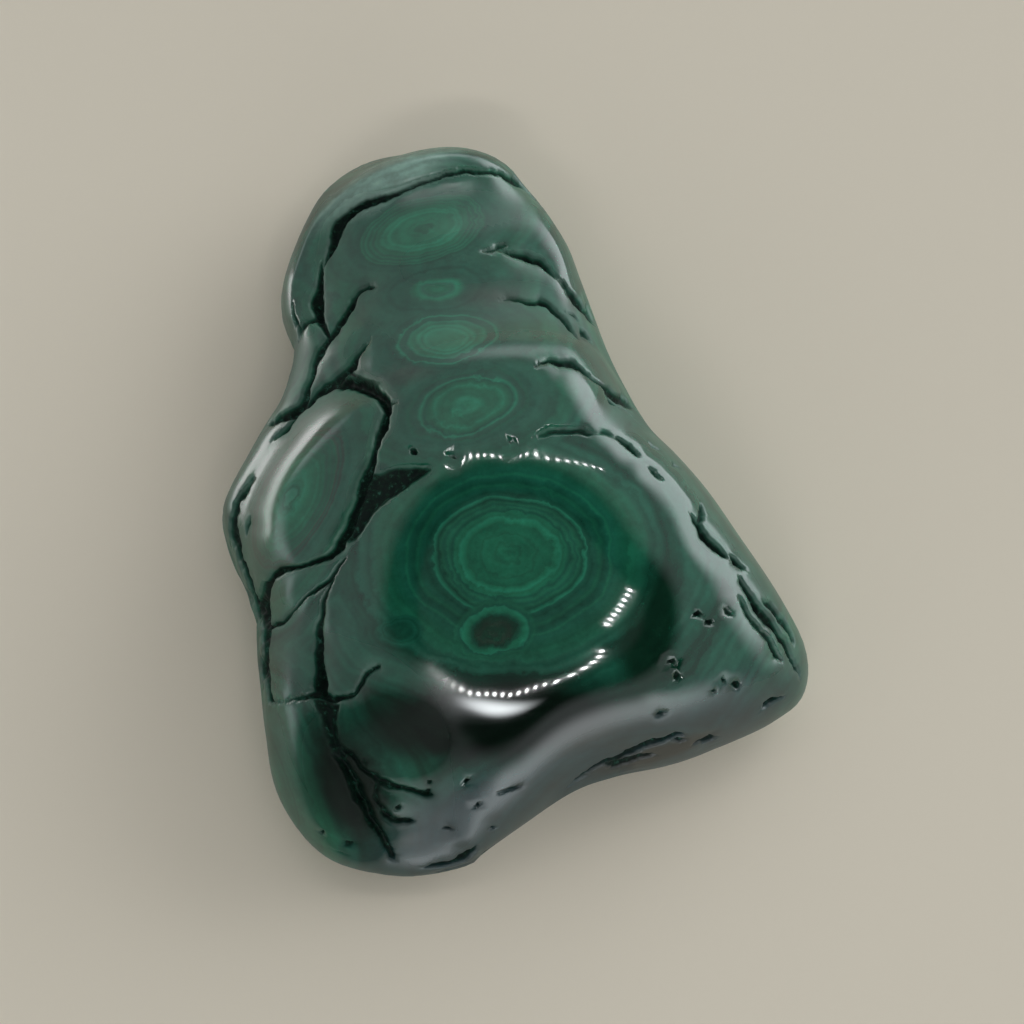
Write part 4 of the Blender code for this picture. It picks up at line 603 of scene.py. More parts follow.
@dataclass
class Skin:
    """The polished skin: a function that is zero on it and negative inside.

    Attributes:
        outline: the widest line, seen from above.
        heights: spot heights of the polished top.
        lobes: what stands above that top.
        widest_at: height of the widest line.
        lean_up: radius of the wall above that line.
        lean_down: radius of the wall below that line.
        wall_slope: steepness of the wall's own measure.
        edge_round: rounding from top to wall.
        base_round: rounding from wall to base.
        spread: softness of the surface through the spot heights.
        ease: how far that surface may miss a spot.
    """

    outline: tuple[Point2, ...] = OUTLINE
    heights: tuple[Point3, ...] = SPOTS
    lobes: tuple[Lobe, ...] = LOBES
    widest_at: float = 6.5
    lean_up: float = 32.0
    lean_down: float = 8.0
    wall_slope: float = 0.93
    edge_round: float = 1.8
    base_round: float = 0.8
    spread: float = 7.0
    ease: float = 0.02
    angles: np.ndarray = field(init=False)
    radii: np.ndarray = field(init=False)
    spots: np.ndarray = field(init=False)
    weights: np.ndarray = field(init=False)

    def __post_init__(self) -> None:
        """Work out the outline's radii and the weights of the spot heights."""
        curve = closed_curve(self.outline)
        angle = np.arctan2(curve[:, 1], curve[:, 0])
        order = np.argsort(angle)
        self.angles = angle[order]
        self.radii = np.hypot(curve[:, 0], curve[:, 1])[order]
        self.spots = np.array(self.heights)
        self.weights = self.fitted_weights()

    def fitted_weights(self) -> np.ndarray:
        """Fit a soft surface through the spot heights.

        Returns:
            A weight for each spot, then the surface's level and its two slopes.
        """
        spots = self.spots
        count = len(spots)
        apart = np.hypot(spots[:, None, 0] - spots[None, :, 0],
                         spots[:, None, 1] - spots[None, :, 1])
        system = np.zeros((count + 3, count + 3))
        system[:count, :count] = np.sqrt(apart ** 2 + self.spread ** 2)
        system[:count, :count] += self.ease * np.eye(count)
        system[:count, count] = 1.0
        system[:count, count + 1:] = spots[:, :2]
        system[count, :count] = 1.0
        system[count + 1:, :count] = spots[:, :2].T
        return np.linalg.solve(system, np.append(spots[:, 2], [0.0, 0.0, 0.0]))

    def top(self, points: np.ndarray) -> np.ndarray:
        """Measure how far points are above the polished top, lobes apart.

        Args:
            points: places in the stone's millimetres.

        Returns:
            A distance for each point, negative below.
        """
        dx = points[:, 0, None] - self.spots[None, :, 0]
        dy = points[:, 1, None] - self.spots[None, :, 1]
        reach = np.sqrt(dx ** 2 + dy ** 2 + self.spread ** 2)
        spot, (level, slope_x, slope_y) = self.weights[:-3], self.weights[-3:]
        height = reach @ spot + level + slope_x * points[:, 0] + slope_y * points[:, 1]
        rise_x = (dx / reach) @ spot + slope_x
        rise_y = (dy / reach) @ spot + slope_y
        return (points[:, 2] - height) / np.sqrt(1.0 + rise_x ** 2 + rise_y ** 2)

    def radius(self, angle: np.ndarray) -> np.ndarray:
        """Read the outline's radius at angles in radians."""
        return np.interp(angle, self.angles, self.radii, period=2.0 * math.pi)

    def wall(self, points: np.ndarray) -> np.ndarray:
        """Measure how far points are outside the wall.

        Args:
            points: places in the stone's millimetres.

        Returns:
            A distance for each point, negative inside.
        """
        radius = self.radius(np.arctan2(points[:, 1], points[:, 0]))
        off = points[:, 2] - self.widest_at
        lean = off ** 2 / (2.0 * np.where(off > 0.0, self.lean_up, self.lean_down))
        return (np.hypot(points[:, 0], points[:, 1]) - radius) * self.wall_slope + lean

    def value(self, points: np.ndarray) -> np.ndarray:
        """Read the skin function.

        Args:
            points: places in the stone's millimetres.

        Returns:
            A value for each point: zero on the skin, negative inside.
        """
        result = self.top(points)
        for lobe in self.lobes:
            result = soft_min(result, lobe.above(points), lobe.join)
        result = soft_max(result, self.wall(points), self.edge_round)
        return soft_max(result, -points[:, 2], self.base_round)

    def slope(self, points: np.ndarray, step: float = 0.05) -> np.ndarray:
        """Read the gradient of the skin function.

        Args:
            points: places in the stone's millimetres.
            step: how far apart the two readings of each direction are, halved.

        Returns:
            A gradient for each point, which points outwards.
        """
        result = np.empty_like(points)
        for axis in range(3):
            shift = np.zeros(3)
            shift[axis] = step
            ahead, behind = self.value(points + shift), self.value(points - shift)
            result[:, axis] = (ahead - behind) / (2.0 * step)
        return result

    def valley(self, points: np.ndarray, normals: np.ndarray, reach: float = 5.0) -> np.ndarray:
        """Measure how hollow the skin is: a polishing wheel doesn't get into its valleys.

        Args:
            points: places on the skin.
            normals: which way the skin faces there.
            reach: how far to both sides the skin is compared.

        Returns:
            How far the skin rises on both sides of each point, where it is hollowest.
        """
        side = unit(np.cross(normals, np.array([0.31, 0.87, 0.38])))
        other = np.cross(normals, side)
        hollow = np.zeros(len(points))
        for turn in np.arange(8) * math.pi / 8.0:
            step = reach * (side * math.cos(turn) + other * math.sin(turn))
            both = self.value(points + step) + self.value(points - step)
            hollow = np.maximum(hollow, -0.5 * both)
        return hollow

    def settle(self, points: np.ndarray, rounds: int = 2) -> np.ndarray:
        """Move points straight onto the skin.

        Args:
            points: places near the skin.
            rounds: how often they are moved.

        Returns:
            The moved points.
        """
        for _ in range(rounds):
            slope = self.slope(points)
            step = self.value(points) / np.maximum(np.sum(slope ** 2, axis=1), 0.2)
            points = points - slope * step[:, None]
        return points

    def hit(self, start: np.ndarray, toward: np.ndarray, reach: float) -> np.ndarray:
        """Find where a straight line first meets the skin.

        Args:
            start: a place outside the stone.
            toward: the line's direction, of length one.
            reach: how far along the line is surely past the skin's near side.

        Returns:
            The place on the skin.
        """
        steps = np.linspace(0.0, reach, 4000)
        values = self.value(start + steps[:, None] * toward)
        first = int(np.argmax(values < 0.0))
        return start + steps[first] * toward


@dataclass(frozen=True)
class Sheet:
    """The leaning sheet that the top is drawn on: it faces a point above the near side.

    Attributes:
        middle: the place on the stone that the sheet's zero looks at.
        rise: how steeply the sheet is looked down on, in degrees.
        reach: how far away the point is that it faces.
    """

    middle: Point3 = (0.0, 0.0, 15.0)
    rise: float = 70.0
    reach: float = 305.0

    def axes(self) -> np.ndarray:
        """The sheet's right, its up and the direction it is looked along, one row each."""
        rise = math.radians(self.rise)
        toward = np.array([0.0, math.cos(rise), -math.sin(rise)])
        right = np.array([1.0, 0.0, 0.0])
        return np.stack([right, np.cross(right, toward), toward])

    def origin(self) -> np.ndarray:
        """The point that the sheet faces."""
        return np.array(self.middle) - self.axes()[2] * self.reach

    def spread(self, points: np.ndarray) -> np.ndarray:
        """Find where points of the stone fall on the sheet.

        Args:
            points: places in the stone's millimetres.

        Returns:
            x and y on the sheet, one row for each point.
        """
        right, up, toward = self.axes()
        offset = points - self.origin()
        scale = self.reach / (offset @ toward)
        return np.stack([(offset @ right) * scale, (offset @ up) * scale], axis=1)

    def place(self, at: Point2, skin: Skin) -> np.ndarray:
        """Find the place on the skin that lies under a place on the sheet.

        Args:
            at: x and y on the sheet.
            skin: the skin it is carried onto.

        Returns:
            The place on the skin.
        """
        right, up, toward = self.axes()
        line = toward * self.reach + right * at[0] + up * at[1]
        length = float(np.linalg.norm(line))
        return skin.hit(self.origin(), line / length, length + 40.0)


@dataclass(frozen=True)
class Cut:
    """What is cut in at each place: the whole depth, and the part of it that is bare groove.

    Attributes:
        deep: how far the skin is cut in.
        bare: how deep the unpolished groove, hollow or pit is there.
    """

    deep: np.ndarray
    bare: np.ndarray

    def joined(self, other: "Cut") -> "Cut":
        """Take the deeper of two cuts at each place."""
        return Cut(np.maximum(self.deep, other.deep), np.maximum(self.bare, other.bare))

    def scaled(self, share: np.ndarray) -> "Cut":
        """Take a share of the cut at each place."""
        return Cut(self.deep * share, self.bare * share)

    def added(self, other: "Cut") -> "Cut":
        """Add two cuts that lie apart."""
        return Cut(self.deep + other.deep, self.bare + other.bare)


@dataclass
class Carving:
    """The creases, hollows and pits, and how they are carried onto the stone.

    Attributes:
        sheet: the sheet that the top is drawn on.
        depth: depth of a crease as a multiple of its half width.
        lip: the cut reaches this many half widths, with rounded lips.
        roll_width: the rolled edge reaches this far beyond a crease.
        roll_depth: depth of the rolled edge as a multiple of the half width.
        hollow_edge: width of the sloping side of a hollow.
        pit_depth: depth of a pit as a multiple of its half width.
        unroll: radius that turns an angle on the wall into a length.
        crumb: size of the crumbs that roughen the edge of a crease.
        crumb_reach: how far a crumb shifts that edge.
        waver: size of the bends in that edge.
        waver_reach: how far a bend shifts it.
        rubble: how much the crumbs raise and lower the bottom of a groove.
    """

    sheet: Sheet = field(default_factory=Sheet)
    depth: float = 1.9
    lip: float = 1.3
    roll_width: float = 3.4
    roll_depth: float = 0.95
    hollow_edge: float = 1.3
    pit_depth: float = 1.6
    unroll: float = 38.0
    crumb: float = 0.7
    crumb_reach: float = 0.14
    waver: float = 2.2
    waver_reach: float = 0.32
    rubble: float = 0.06

    def creases(self, xy: np.ndarray, lines: Lines) -> Cut:
        """Cut creases into a sheet.

        Args:
            xy: places on the sheet.
            lines: the creases by name.

        Returns:
            The cut at each place.
        """
        bare = np.zeros(len(xy))
        roll = np.zeros(len(xy))
        for points in lines.values():
            line = np.array(points)
            reach = line[:, 2].max() + self.roll_width
            low, high = line[:, :2].min(axis=0) - reach, line[:, :2].max(axis=0) + reach
            near = np.nonzero(np.all((xy > low) & (xy < high), axis=1))[0]
            away, width = self.line_reach(xy[near], line)
            groove = np.clip(1.0 - (away / (self.lip * width)) ** 2, 0.0, 1.0) ** 2
            edge = np.clip(1.0 - away / (width + self.roll_width), 0.0, 1.0) ** 2
            bare[near] = np.maximum(bare[near], self.depth * width * groove)
            roll[near] = np.maximum(roll[near], self.roll_depth * width * edge)
        return Cut(bare + roll, bare)

    @staticmethod
    def line_reach(xy: np.ndarray, line: np.ndarray) -> tuple[np.ndarray, np.ndarray]:
        """Measure how far places are from a line.

        Args:
            xy: places on the sheet.
            line: the line's points: x, y, half width.

        Returns:
            The distance to the line, and the half width at the nearest place on it.
        """
        best = np.full(len(xy), 1e9)
        width = np.full(len(xy), 0.01)
        for start, end in zip(line[:-1], line[1:]):
            span = end[:2] - start[:2]
            along = np.clip(((xy - start[:2]) @ span) / (span @ span), 0.0, 1.0)
            away = np.hypot(*(xy - start[:2] - along[:, None] * span).T)
            closer = away < best
            best = np.where(closer, away, best)
            width = np.where(closer, start[2] + (end[2] - start[2]) * along, width)
        return best, width

    def hollows(self, xy: np.ndarray, hollows: Hollows) -> Cut:
        """Cut hollows into a sheet.

        Args:
            xy: places on the sheet.
            hollows: depth and corners of each hollow by name.

        Returns:
            The cut at each place.
        """
        deep = np.zeros(len(xy))
        for depth, corners in hollows.values():
            ring = np.array(corners + corners[:1])
            low, high = ring.min(axis=0), ring.max(axis=0)
            near = np.nonzero(np.all((xy > low) & (xy < high), axis=1))[0]
            spot = xy[near]
            best = np.full(len(spot), 1e9)
            inside = np.zeros(len(spot), bool)
            for start, end in zip(ring[:-1], ring[1:]):
                span = end - start
                along = np.clip(((spot - start) @ span) / (span @ span), 0.0, 1.0)
                best = np.minimum(best, np.hypot(*(spot - start - along[:, None] * span).T))
                spans = (start[1] > spot[:, 1]) != (end[1] > spot[:, 1])
                rise = span[1] if span[1] != 0.0 else 1e-9
                cross = start[0] + span[0] * (spot[:, 1] - start[1]) / rise
                inside ^= spans & (spot[:, 0] < cross)
            side = smooth_step(0.0, self.hollow_edge, np.where(inside, best, 0.0))
            deep[near] = np.maximum(deep[near], depth * side)
        return Cut(deep, deep)

    def pits(self, xy: np.ndarray, pits: Pits) -> Cut:
        """Cut pits into a sheet.

        Args:
            xy: places on the sheet.
            pits: x, y, half length, half width and turn of each pit.

        Returns:
            The cut at each place.
        """
        deep = np.zeros(len(xy))
        for x, y, length, width, degrees in pits:
            turn = math.radians(degrees)
            along = (xy[:, 0] - x) * math.cos(turn) + (xy[:, 1] - y) * math.sin(turn)
            aside = (xy[:, 1] - y) * math.cos(turn) - (xy[:, 0] - x) * math.sin(turn)
            bowl = np.clip(1.0 - (along / length) ** 2 - (aside / width) ** 2, 0.0, 1.0)
            deep = np.maximum(deep, self.pit_depth * width * bowl)
        return Cut(deep, deep)

    def roughened(self, points: np.ndarray) -> np.ndarray:
        """Shift places a little, so that the edges drawn there waver and crumble."""
        bends = crumbled(points, self.waver, self.waver_reach)
        return points + bends + crumbled(points, self.crumb, self.crumb_reach)

    def on_sheet(self, points: np.ndarray) -> Cut:
        """Work out the cut of everything that is drawn on the leaning sheet."""
        xy = self.sheet.spread(self.roughened(points))
        cut = self.creases(xy, SHEET_CREASES).joined(self.hollows(xy, SHEET_HOLLOWS))
        return cut.joined(self.pits(xy, SHEET_PITS))

    def on_wall(self, points: np.ndarray) -> Cut:
        """Work out the cut of everything that is drawn on the unrolled wall."""
        shifted = self.roughened(points)
        angle = np.arctan2(shifted[:, 1], shifted[:, 0]) % (2.0 * math.pi)
        xy = np.stack([angle * self.unroll, shifted[:, 2]], axis=1)
        turn = math.radians(1.0) * self.unroll
        lines = {name: tuple((a * turn, z, w) for a, z, w in line)
                 for name, line in WALL_CREASES.items()}
        pits = tuple((a * turn, z, long, wide, spin) for a, z, long, wide, spin in WALL_PITS)
        return self.creases(xy, lines).joined(self.pits(xy, pits))

    def cut(self, points: np.ndarray, normals: np.ndarray) -> Cut:
        """Work out how far the skin is cut in.

        Args:
            points: places on the skin.
            normals: which way the skin faces there.

        Returns:
            The cut at each place.
        """
        facing = np.sum(normals * unit(self.sheet.origin() - points), axis=1)
        seen = smooth_step(0.02, 0.16, facing)
        low = smooth_step(0.35, 0.75, -normals[:, 2])
        hidden = (1.0 - smooth_step(-0.02, 0.12, facing)) * (1.0 - low)
        cut = self.on_sheet(points).scaled(seen).added(self.on_wall(points).scaled(hidden))
        crumbs = crumbled(points, self.crumb, 1.0)[:, 0] * self.rubble
        return Cut(cut.deep + crumbs * np.clip(cut.bare / 0.8, 0.0, 1.0), cut.bare)


@dataclass(frozen=True)
class FrameFit:
    """How the stone's millimetres become the frame's metres.

    Attributes:
        low: lowest corner of the stone in its own millimetres.
        high: highest corner of the stone in its own millimetres.
        box: the CAD node's lowest and highest corners in metres.
    """

    low: np.ndarray
    high: np.ndarray
    box: tuple[Vector, Vector]

    def metres(self, points: np.ndarray) -> np.ndarray:
        """Turn places in the stone's millimetres into the frame's metres."""
        low, high = np.array(self.box[0]), np.array(self.box[1])
        return low + (points - self.low) * (high - low) / (self.high - self.low)

    def one(self, point: np.ndarray) -> Vector:
        """Turn one place into the frame's metres."""
        return Vector(self.metres(np.asarray(point, float)[None, :])[0].tolist())


MISSED: Pits = ((-19.0, -32.0, 10.0, 4.5, 110.0), (-13.0, -26.4, 6.0, 4.6, 0.0))


@dataclass
class StoneMesh:
    """Makes the fine mesh of the stone.

    Attributes:
        skin: the polished skin.
        carving: what is cut into it.
        cuts: quads along one side of the starting cube.
        core: size of the flat core that the ball is blown up from.
        core_height: height of that core.
        ray_length: how far a ray surely leaves the stone.
        even_rounds: how often the points are spread evenly.
        normal_rounds: how far the cutting direction is averaged.
        dull_rounds: how softly a dull valley ends.
        finder_roll: how far beside a crease quads are cut finer.
        finer: the depths from which they are, one for each round.
        base_snap: everything lower than this is on the base.
    """

    skin: Skin = field(default_factory=Skin)
    carving: Carving = field(default_factory=Carving)
    cuts: int = 68
    core: float = 0.74
    core_height: float = 6.5
    ray_length: float = 91.0
    even_rounds: int = 12
    normal_rounds: int = 8
    dull_rounds: int = 12
    finder_roll: float = 0.9
    finer: tuple[float, ...] = (0.03, 0.10)
    base_snap: float = 0.12

    def quad_ball(self) -> bmesh.types.BMesh:
        """Make a cube of evenly cut quads."""
        ball = bmesh.new()
        bmesh.ops.create_cube(ball, size=2.0)
        bmesh.ops.subdivide_edges(ball, edges=ball.edges[:], cuts=self.cuts - 1, use_grid_fill=True)
        return ball

    def blow_up(self, ball: bmesh.types.BMesh) -> np.ndarray:
        """Push the ball's points from a flat core straight out onto the skin.

        Args:
            ball: the cube of quads.

        Returns:
            A place on the skin for each point.
        """
        cube = np.array([vert.co[:] for vert in ball.verts])
        edge = np.isclose(np.abs(cube), 1.0)
        round_points = unit(np.where(edge, np.sign(cube), np.tan(cube * math.pi / 4.0)))
        spread = np.hypot(round_points[:, 0], round_points[:, 1])
        angle = np.arctan2(round_points[:, 1], round_points[:, 0])
        aside = np.stack([np.cos(angle), np.sin(angle)], axis=1)
        core = np.column_stack([aside * (self.core * self.skin.radius(angle) * spread)[:, None],
                                np.full(len(cube), self.core_height)])
        rays = unit(np.column_stack([aside * (spread ** 3)[:, None], round_points[:, 2]]))
        rays *= self.ray_length
        near, far = np.zeros(len(rays)), np.ones(len(rays))
        for _ in range(30):
            half = 0.5 * (near + far)
            inside = self.skin.value(core + rays * half[:, None]) < 0.0
            near, far = np.where(inside, half, near), np.where(inside, far, half)
        return core + rays * near[:, None]

    @staticmethod
    def edge_ends(ball: bmesh.types.BMesh) -> np.ndarray:
        """The two point numbers of each edge, one row each."""
        ball.verts.index_update()
        return np.array([[edge.verts[0].index, edge.verts[1].index] for edge in ball.edges])

    @staticmethod
    def neighbour_mean(ends: np.ndarray, values: np.ndarray) -> np.ndarray:
        """Average the neighbours' values.

        Args:
            ends: the two point numbers of each edge.
            values: one row of three for each point.

        Returns:
            The mean of the neighbours at each point.
        """
        count = np.bincount(ends.ravel(), minlength=len(values))[:, None]
        total = np.zeros_like(values)
        for axis in range(3):
            total[:, axis] += np.bincount(ends[:, 0], values[ends[:, 1], axis], len(values))
            total[:, axis] += np.bincount(ends[:, 1], values[ends[:, 0], axis], len(values))
        return total / count

    def even_out(self, ball: bmesh.types.BMesh, points: np.ndarray) -> np.ndarray:
        """Spread the points more evenly over the skin.

        Args:
            ball: the quads.
            points: their points.

        Returns:
            The spread points.
        """
        ends = self.edge_ends(ball)
        for _ in range(self.even_rounds):
            moved = 0.5 * points + 0.5 * self.neighbour_mean(ends, points)
            points = self.skin.settle(moved, 1)
        return self.skin.settle(points)

    def cut_finer(self, ball: bmesh.types.BMesh, points: np.ndarray,
                  chosen: np.ndarray) -> np.ndarray:
        """Split the quads that a crease or pit runs through.

        Args:
            ball: the quads.
            points: their points.
            chosen: which points a crease or pit touches.

        Returns:
            All the points, the new ones among them.
        """
        for vert, point in zip(ball.verts, points):
            vert.co = point
        ends = self.edge_ends(ball)
        split = chosen[ends[:, 0]] | chosen[ends[:, 1]]
        edges = [edge for edge, wanted in zip(ball.edges[:], split) if wanted]
        bmesh.ops.subdivide_edges(ball, edges=edges, cuts=1, use_grid_fill=True)
        ball.verts.index_update()
        return np.array([vert.co[:] for vert in ball.verts])

    def carve(self, ball: bmesh.types.BMesh,
              points: np.ndarray) -> tuple[np.ndarray, dict[str, np.ndarray]]:
        """Cut the creases, hollows and pits.

        Args:
            ball: the quads.
            points: their points on the skin.

        Returns:
            The cut points, and at each of them how deep the bare groove is, how dull the
            polish is and how far the polishing missed it.
        """
        finder = replace(self.carving, roll_width=self.finder_roll, roll_depth=1.0)
        for shallow in self.finer:
            cut = finder.cut(points, unit(self.skin.slope(points)))
            points = self.skin.settle(self.cut_finer(ball, points, cut.deep > shallow))
        normals = unit(self.skin.slope(points))
        cut = self.carving.cut(points, normals)
        valley = smooth_step(0.06, 0.15, self.skin.valley(points, normals))
        missed = self.carving.pits(self.carving.sheet.spread(points), MISSED).deep
        lips = 0.6 * smooth_step(0.04, 0.35, cut.deep - cut.bare)
        lips += 0.6 * smooth_step(0.0, 0.06, cut.bare)
        flanks = 0.6 * smooth_step(-0.82, -0.55, -normals[:, 2])
        ends = self.edge_ends(ball)
        missed = smooth_step(0.0, 2.5, missed)
        soft = np.stack([np.maximum(0.95 * valley, missed), missed, missed], axis=1)
        for _ in range(self.dull_rounds):
            soft = self.neighbour_mean(ends, soft)
        dull = np.maximum(np.maximum(soft[:, 0], flanks), np.minimum(lips, 1.0))
        for _ in range(self.normal_rounds):
            normals = unit(0.5 * normals + 0.5 * self.neighbour_mean(ends, normals))
        values = {"bare": cut.bare, "dull": dull, "missed": soft[:, 1]}
        return points - normals * cut.deep[:, None], values

    def build(self, name: str, box: tuple[Vector, Vector]) -> tuple[bpy.types.Object, FrameFit]:
        """Make the stone's object.

        Args:
            name: the object's name.
            box: the CAD node's lowest and highest corners.

        Returns:
            The object, and how its millimetres became metres.
        """
        ball = self.quad_ball()
        points = self.even_out(ball, self.blow_up(ball))
        points, values = self.carve(ball, points)
        points[points[:, 2] < self.base_snap, 2] = 0.0
        fit = FrameFit(points.min(axis=0), points.max(axis=0), box)
        for vert, point in zip(ball.verts, fit.metres(points)):
            vert.co = point
        bmesh.ops.recalc_face_normals(ball, faces=ball.faces[:])
        mesh = bpy.data.meshes.new(name)
        ball.to_mesh(mesh)
        ball.free()
        for key, value in values.items():
            mesh.attributes.new(key, "FLOAT", "POINT").data.foreach_set("value", value)
        mesh.shade_smooth()
        stone = bpy.data.objects.new(name, mesh)
        bpy.context.scene.collection.objects.link(stone)
        return stone, fit


Rings = tuple[tuple[float, Tone], ...]


@dataclass(frozen=True)
class Eye:
    """A growth centre, with the rings round it.

    Attributes:
        name: what it is called.
        place: the surface that its position is given on.
        at: x and y in mm there, or degrees and mm on the wall.
        halves: half length and half width of its outer ring.
        turn: turn of the long axis in degrees.
        depth: how far that ring reaches down into the stone.
        lead: how much earlier than its neighbours it began to grow, in mm of growth.
        rings: its own rings, as shares of the outer ring, from the middle outwards.
        fade: the shares between which its own rings give way to the common bands.
    """

    name: str
    place: Place
    at: Point2
    halves: Point2
    turn: float
    depth: float
    lead: float = 0.0
    rings: Rings = ()
    fade: Point2 = (1.1, 1.5)

    def size(self) -> float:
        """The mean half size of its outer ring."""
        return math.sqrt(self.halves[0] * self.halves[1])


DOME_RINGS: Rings = (
    (0.00, Tone.GREEN), (0.10, Tone.VIVID), (0.16, Tone.GREEN), (0.22, Tone.VIVID),
    (0.31, Tone.VIVID), (0.35, Tone.GREEN), (0.40, Tone.VIVID), (0.48, Tone.VIVID),
    (0.52, Tone.GREEN), (0.57, Tone.VIVID), (0.62, Tone.BRIGHT), (0.66, Tone.GREEN),
    (0.71, Tone.VIVID), (0.75, Tone.MID), (0.80, Tone.GREEN), (0.84, Tone.MID),
    (0.88, Tone.GREEN), (0.93, Tone.DARK), (0.985, Tone.BRIGHT), (1.01, Tone.MID),
    (1.07, Tone.DARK), (1.13, Tone.MID), (1.18, Tone.GREEN), (1.23, Tone.DARK),
    (1.31, Tone.MID), (1.34, Tone.GREEN),
    (1.38, Tone.MID), (1.60, Tone.GREEN), (2.00, Tone.MID),
)
FIRST_RINGS: Rings = (
    (0.00, Tone.GREEN), (0.15, Tone.GREEN), (0.20, Tone.VIVID), (0.26, Tone.GREEN),
    (0.32, Tone.VIVID), (0.50, Tone.VIVID), (0.54, Tone.BRIGHT), (0.58, Tone.VIVID),
    (0.64, Tone.BRIGHT), (0.69, Tone.GREEN), (0.75, Tone.VIVID), (0.79, Tone.MIST),
    (0.83, Tone.VIVID), (0.87, Tone.MID), (0.92, Tone.VIVID), (0.96, Tone.MID),
    (1.00, Tone.VIVID), (1.04, Tone.MID), (1.20, Tone.MIST),
)
SECOND_RINGS: Rings = (
    (0.00, Tone.VIVID), (0.18, Tone.VIVID), (0.35, Tone.GREEN), (0.55, Tone.MIST),
    (0.75, Tone.BRIGHT), (0.92, Tone.VIVID), (1.10, Tone.MIST),
)
THIRD_RINGS: Rings = (
    (0.00, Tone.VIVID), (0.30, Tone.VIVID), (0.40, Tone.BRIGHT), (0.48, Tone.GREEN),
    (0.54, Tone.BRIGHT), (0.60, Tone.GREEN), (0.66, Tone.VIVID), (0.71, Tone.BRIGHT),
    (0.77, Tone.MID), (0.88, Tone.MIST), (0.93, Tone.BRIGHT), (0.99, Tone.MID),
    (1.08, Tone.MIST), (1.18, Tone.MID),
)
FOURTH_RINGS: Rings = (
    (0.00, Tone.VIVID), (0.22, Tone.BRIGHT), (0.34, Tone.VIVID), (0.42, Tone.GREEN),
    (0.55, Tone.GREEN), (0.62, Tone.VIVID), (0.68, Tone.BRIGHT), (0.74, Tone.VIVID),
    (0.80, Tone.GREEN), (0.87, Tone.MID), (0.94, Tone.BRIGHT), (1.00, Tone.MIST),
    (1.10, Tone.MIST), (1.16, Tone.GREEN), (1.22, Tone.MIST),
)
LEFT_RINGS: Rings = (
    (0.00, Tone.BRIGHT), (0.10, Tone.PALE), (0.14, Tone.VIVID), (0.19, Tone.BRIGHT),
    (0.24, Tone.VIVID), (0.29, Tone.BRIGHT), (0.36, Tone.VIVID), (0.44, Tone.VIVID),
    (0.48, Tone.GREEN), (0.53, Tone.VIVID), (0.57, Tone.GREEN), (0.62, Tone.VIVID),
    (0.66, Tone.MIST), (0.71, Tone.GREEN), (0.75, Tone.MIST), (0.79, Tone.GREEN),
    (0.83, Tone.UMBER), (0.87, Tone.MIST), (0.91, Tone.UMBER), (0.95, Tone.MIST),
    (1.00, Tone.MID), (1.10, Tone.MIST),
)
BROWN_RINGS: Rings = (
    (0.00, Tone.BROWN), (0.26, Tone.DEEP), (0.40, Tone.BROWN), (0.54, Tone.DEEP),
    (0.66, Tone.DARK), (0.78, Tone.VIVID), (0.90, Tone.BRIGHT), (0.98, Tone.MID),
    (1.10, Tone.GREEN), (1.22, Tone.DARK),
)
SMALL_RINGS: Rings = (
    (0.00, Tone.DARK), (0.55, Tone.DARK), (0.75, Tone.MID), (0.88, Tone.DARK),
    (1.02, Tone.MID), (1.20, Tone.DARK),
)

EYES = (
    Eye("dome", Place.SHEET, (-0.4, -5.1), (8.6, 6.7), 0.0, 16.0, 4.0, DOME_RINGS, (1.5, 2.1)),
    Eye("brown heart", Place.SHEET, (-2.0, -13.8), (3.9, 2.7), 0.0, 5.0, -6.0, BROWN_RINGS,
        (1.0, 1.3)),
    Eye("small ring", Place.SHEET, (-12.8, -14.0), (2.2, 1.5), 0.0, 3.0, -9.0, SMALL_RINGS,
        (1.0, 1.3)),
    Eye("first", Place.SHEET, (-10.2, 32.2), (7.6, 4.1), 16.0, 12.0, 1.0, FIRST_RINGS, (1.0, 1.2)),
    Eye("second", Place.SHEET, (-8.7, 25.3), (3.0, 1.45), 10.0, 6.0, -1.0, SECOND_RINGS,
        (1.0, 1.25)),
    Eye("third", Place.SHEET, (-7.6, 19.6), (6.1, 3.2), 7.0, 12.0, 0.0, THIRD_RINGS, (1.0, 1.2)),
    Eye("fourth", Place.SHEET, (-5.2, 12.1), (6.0, 3.3), 14.0, 12.0, 0.0, FOURTH_RINGS,
        (1.05, 1.3)),
    Eye("left", Place.SHEET, (-25.2, 1.4), (9.8, 5.2), 63.0, 9.0, 1.5, LEFT_RINGS, (0.95, 1.15)),
    Eye("right flank", Place.WALL, (8.0, 9.0), (7.0, 5.0), 0.0, 6.0),
    Eye("right far flank", Place.WALL, (52.0, 9.0), (6.0, 4.5), 15.0, 6.0),
    Eye("far end", Place.WALL, (104.0, 6.5), (7.5, 4.5), -10.0, 6.0),
    Eye("left far flank", Place.WALL, (140.0, 6.5), (6.0, 4.0), 10.0, 6.0),
    Eye("left flank", Place.WALL, (183.0, 6.0), (6.5, 4.0), 0.0, 6.0),
    Eye("near left flank", Place.WALL, (228.0, 6.5), (6.5, 4.5), -12.0, 6.0),
    Eye("near flank", Place.WALL, (288.0, 6.5), (8.0, 4.5), 8.0, 6.0),
    Eye("near corner", Place.WALL, (328.0, 6.5), (6.0, 4.5), 0.0, 6.0),
    Eye("base, near", Place.BASE, (3.0, -14.0), (11.0, 8.5), 20.0, 10.0),
    Eye("base, middle", Place.BASE, (-12.0, 10.0), (8.0, 6.5), 60.0, 10.0),
    Eye("base, far", Place.BASE, (-9.0, 33.0), (8.5, 6.0), 80.0, 10.0),
)
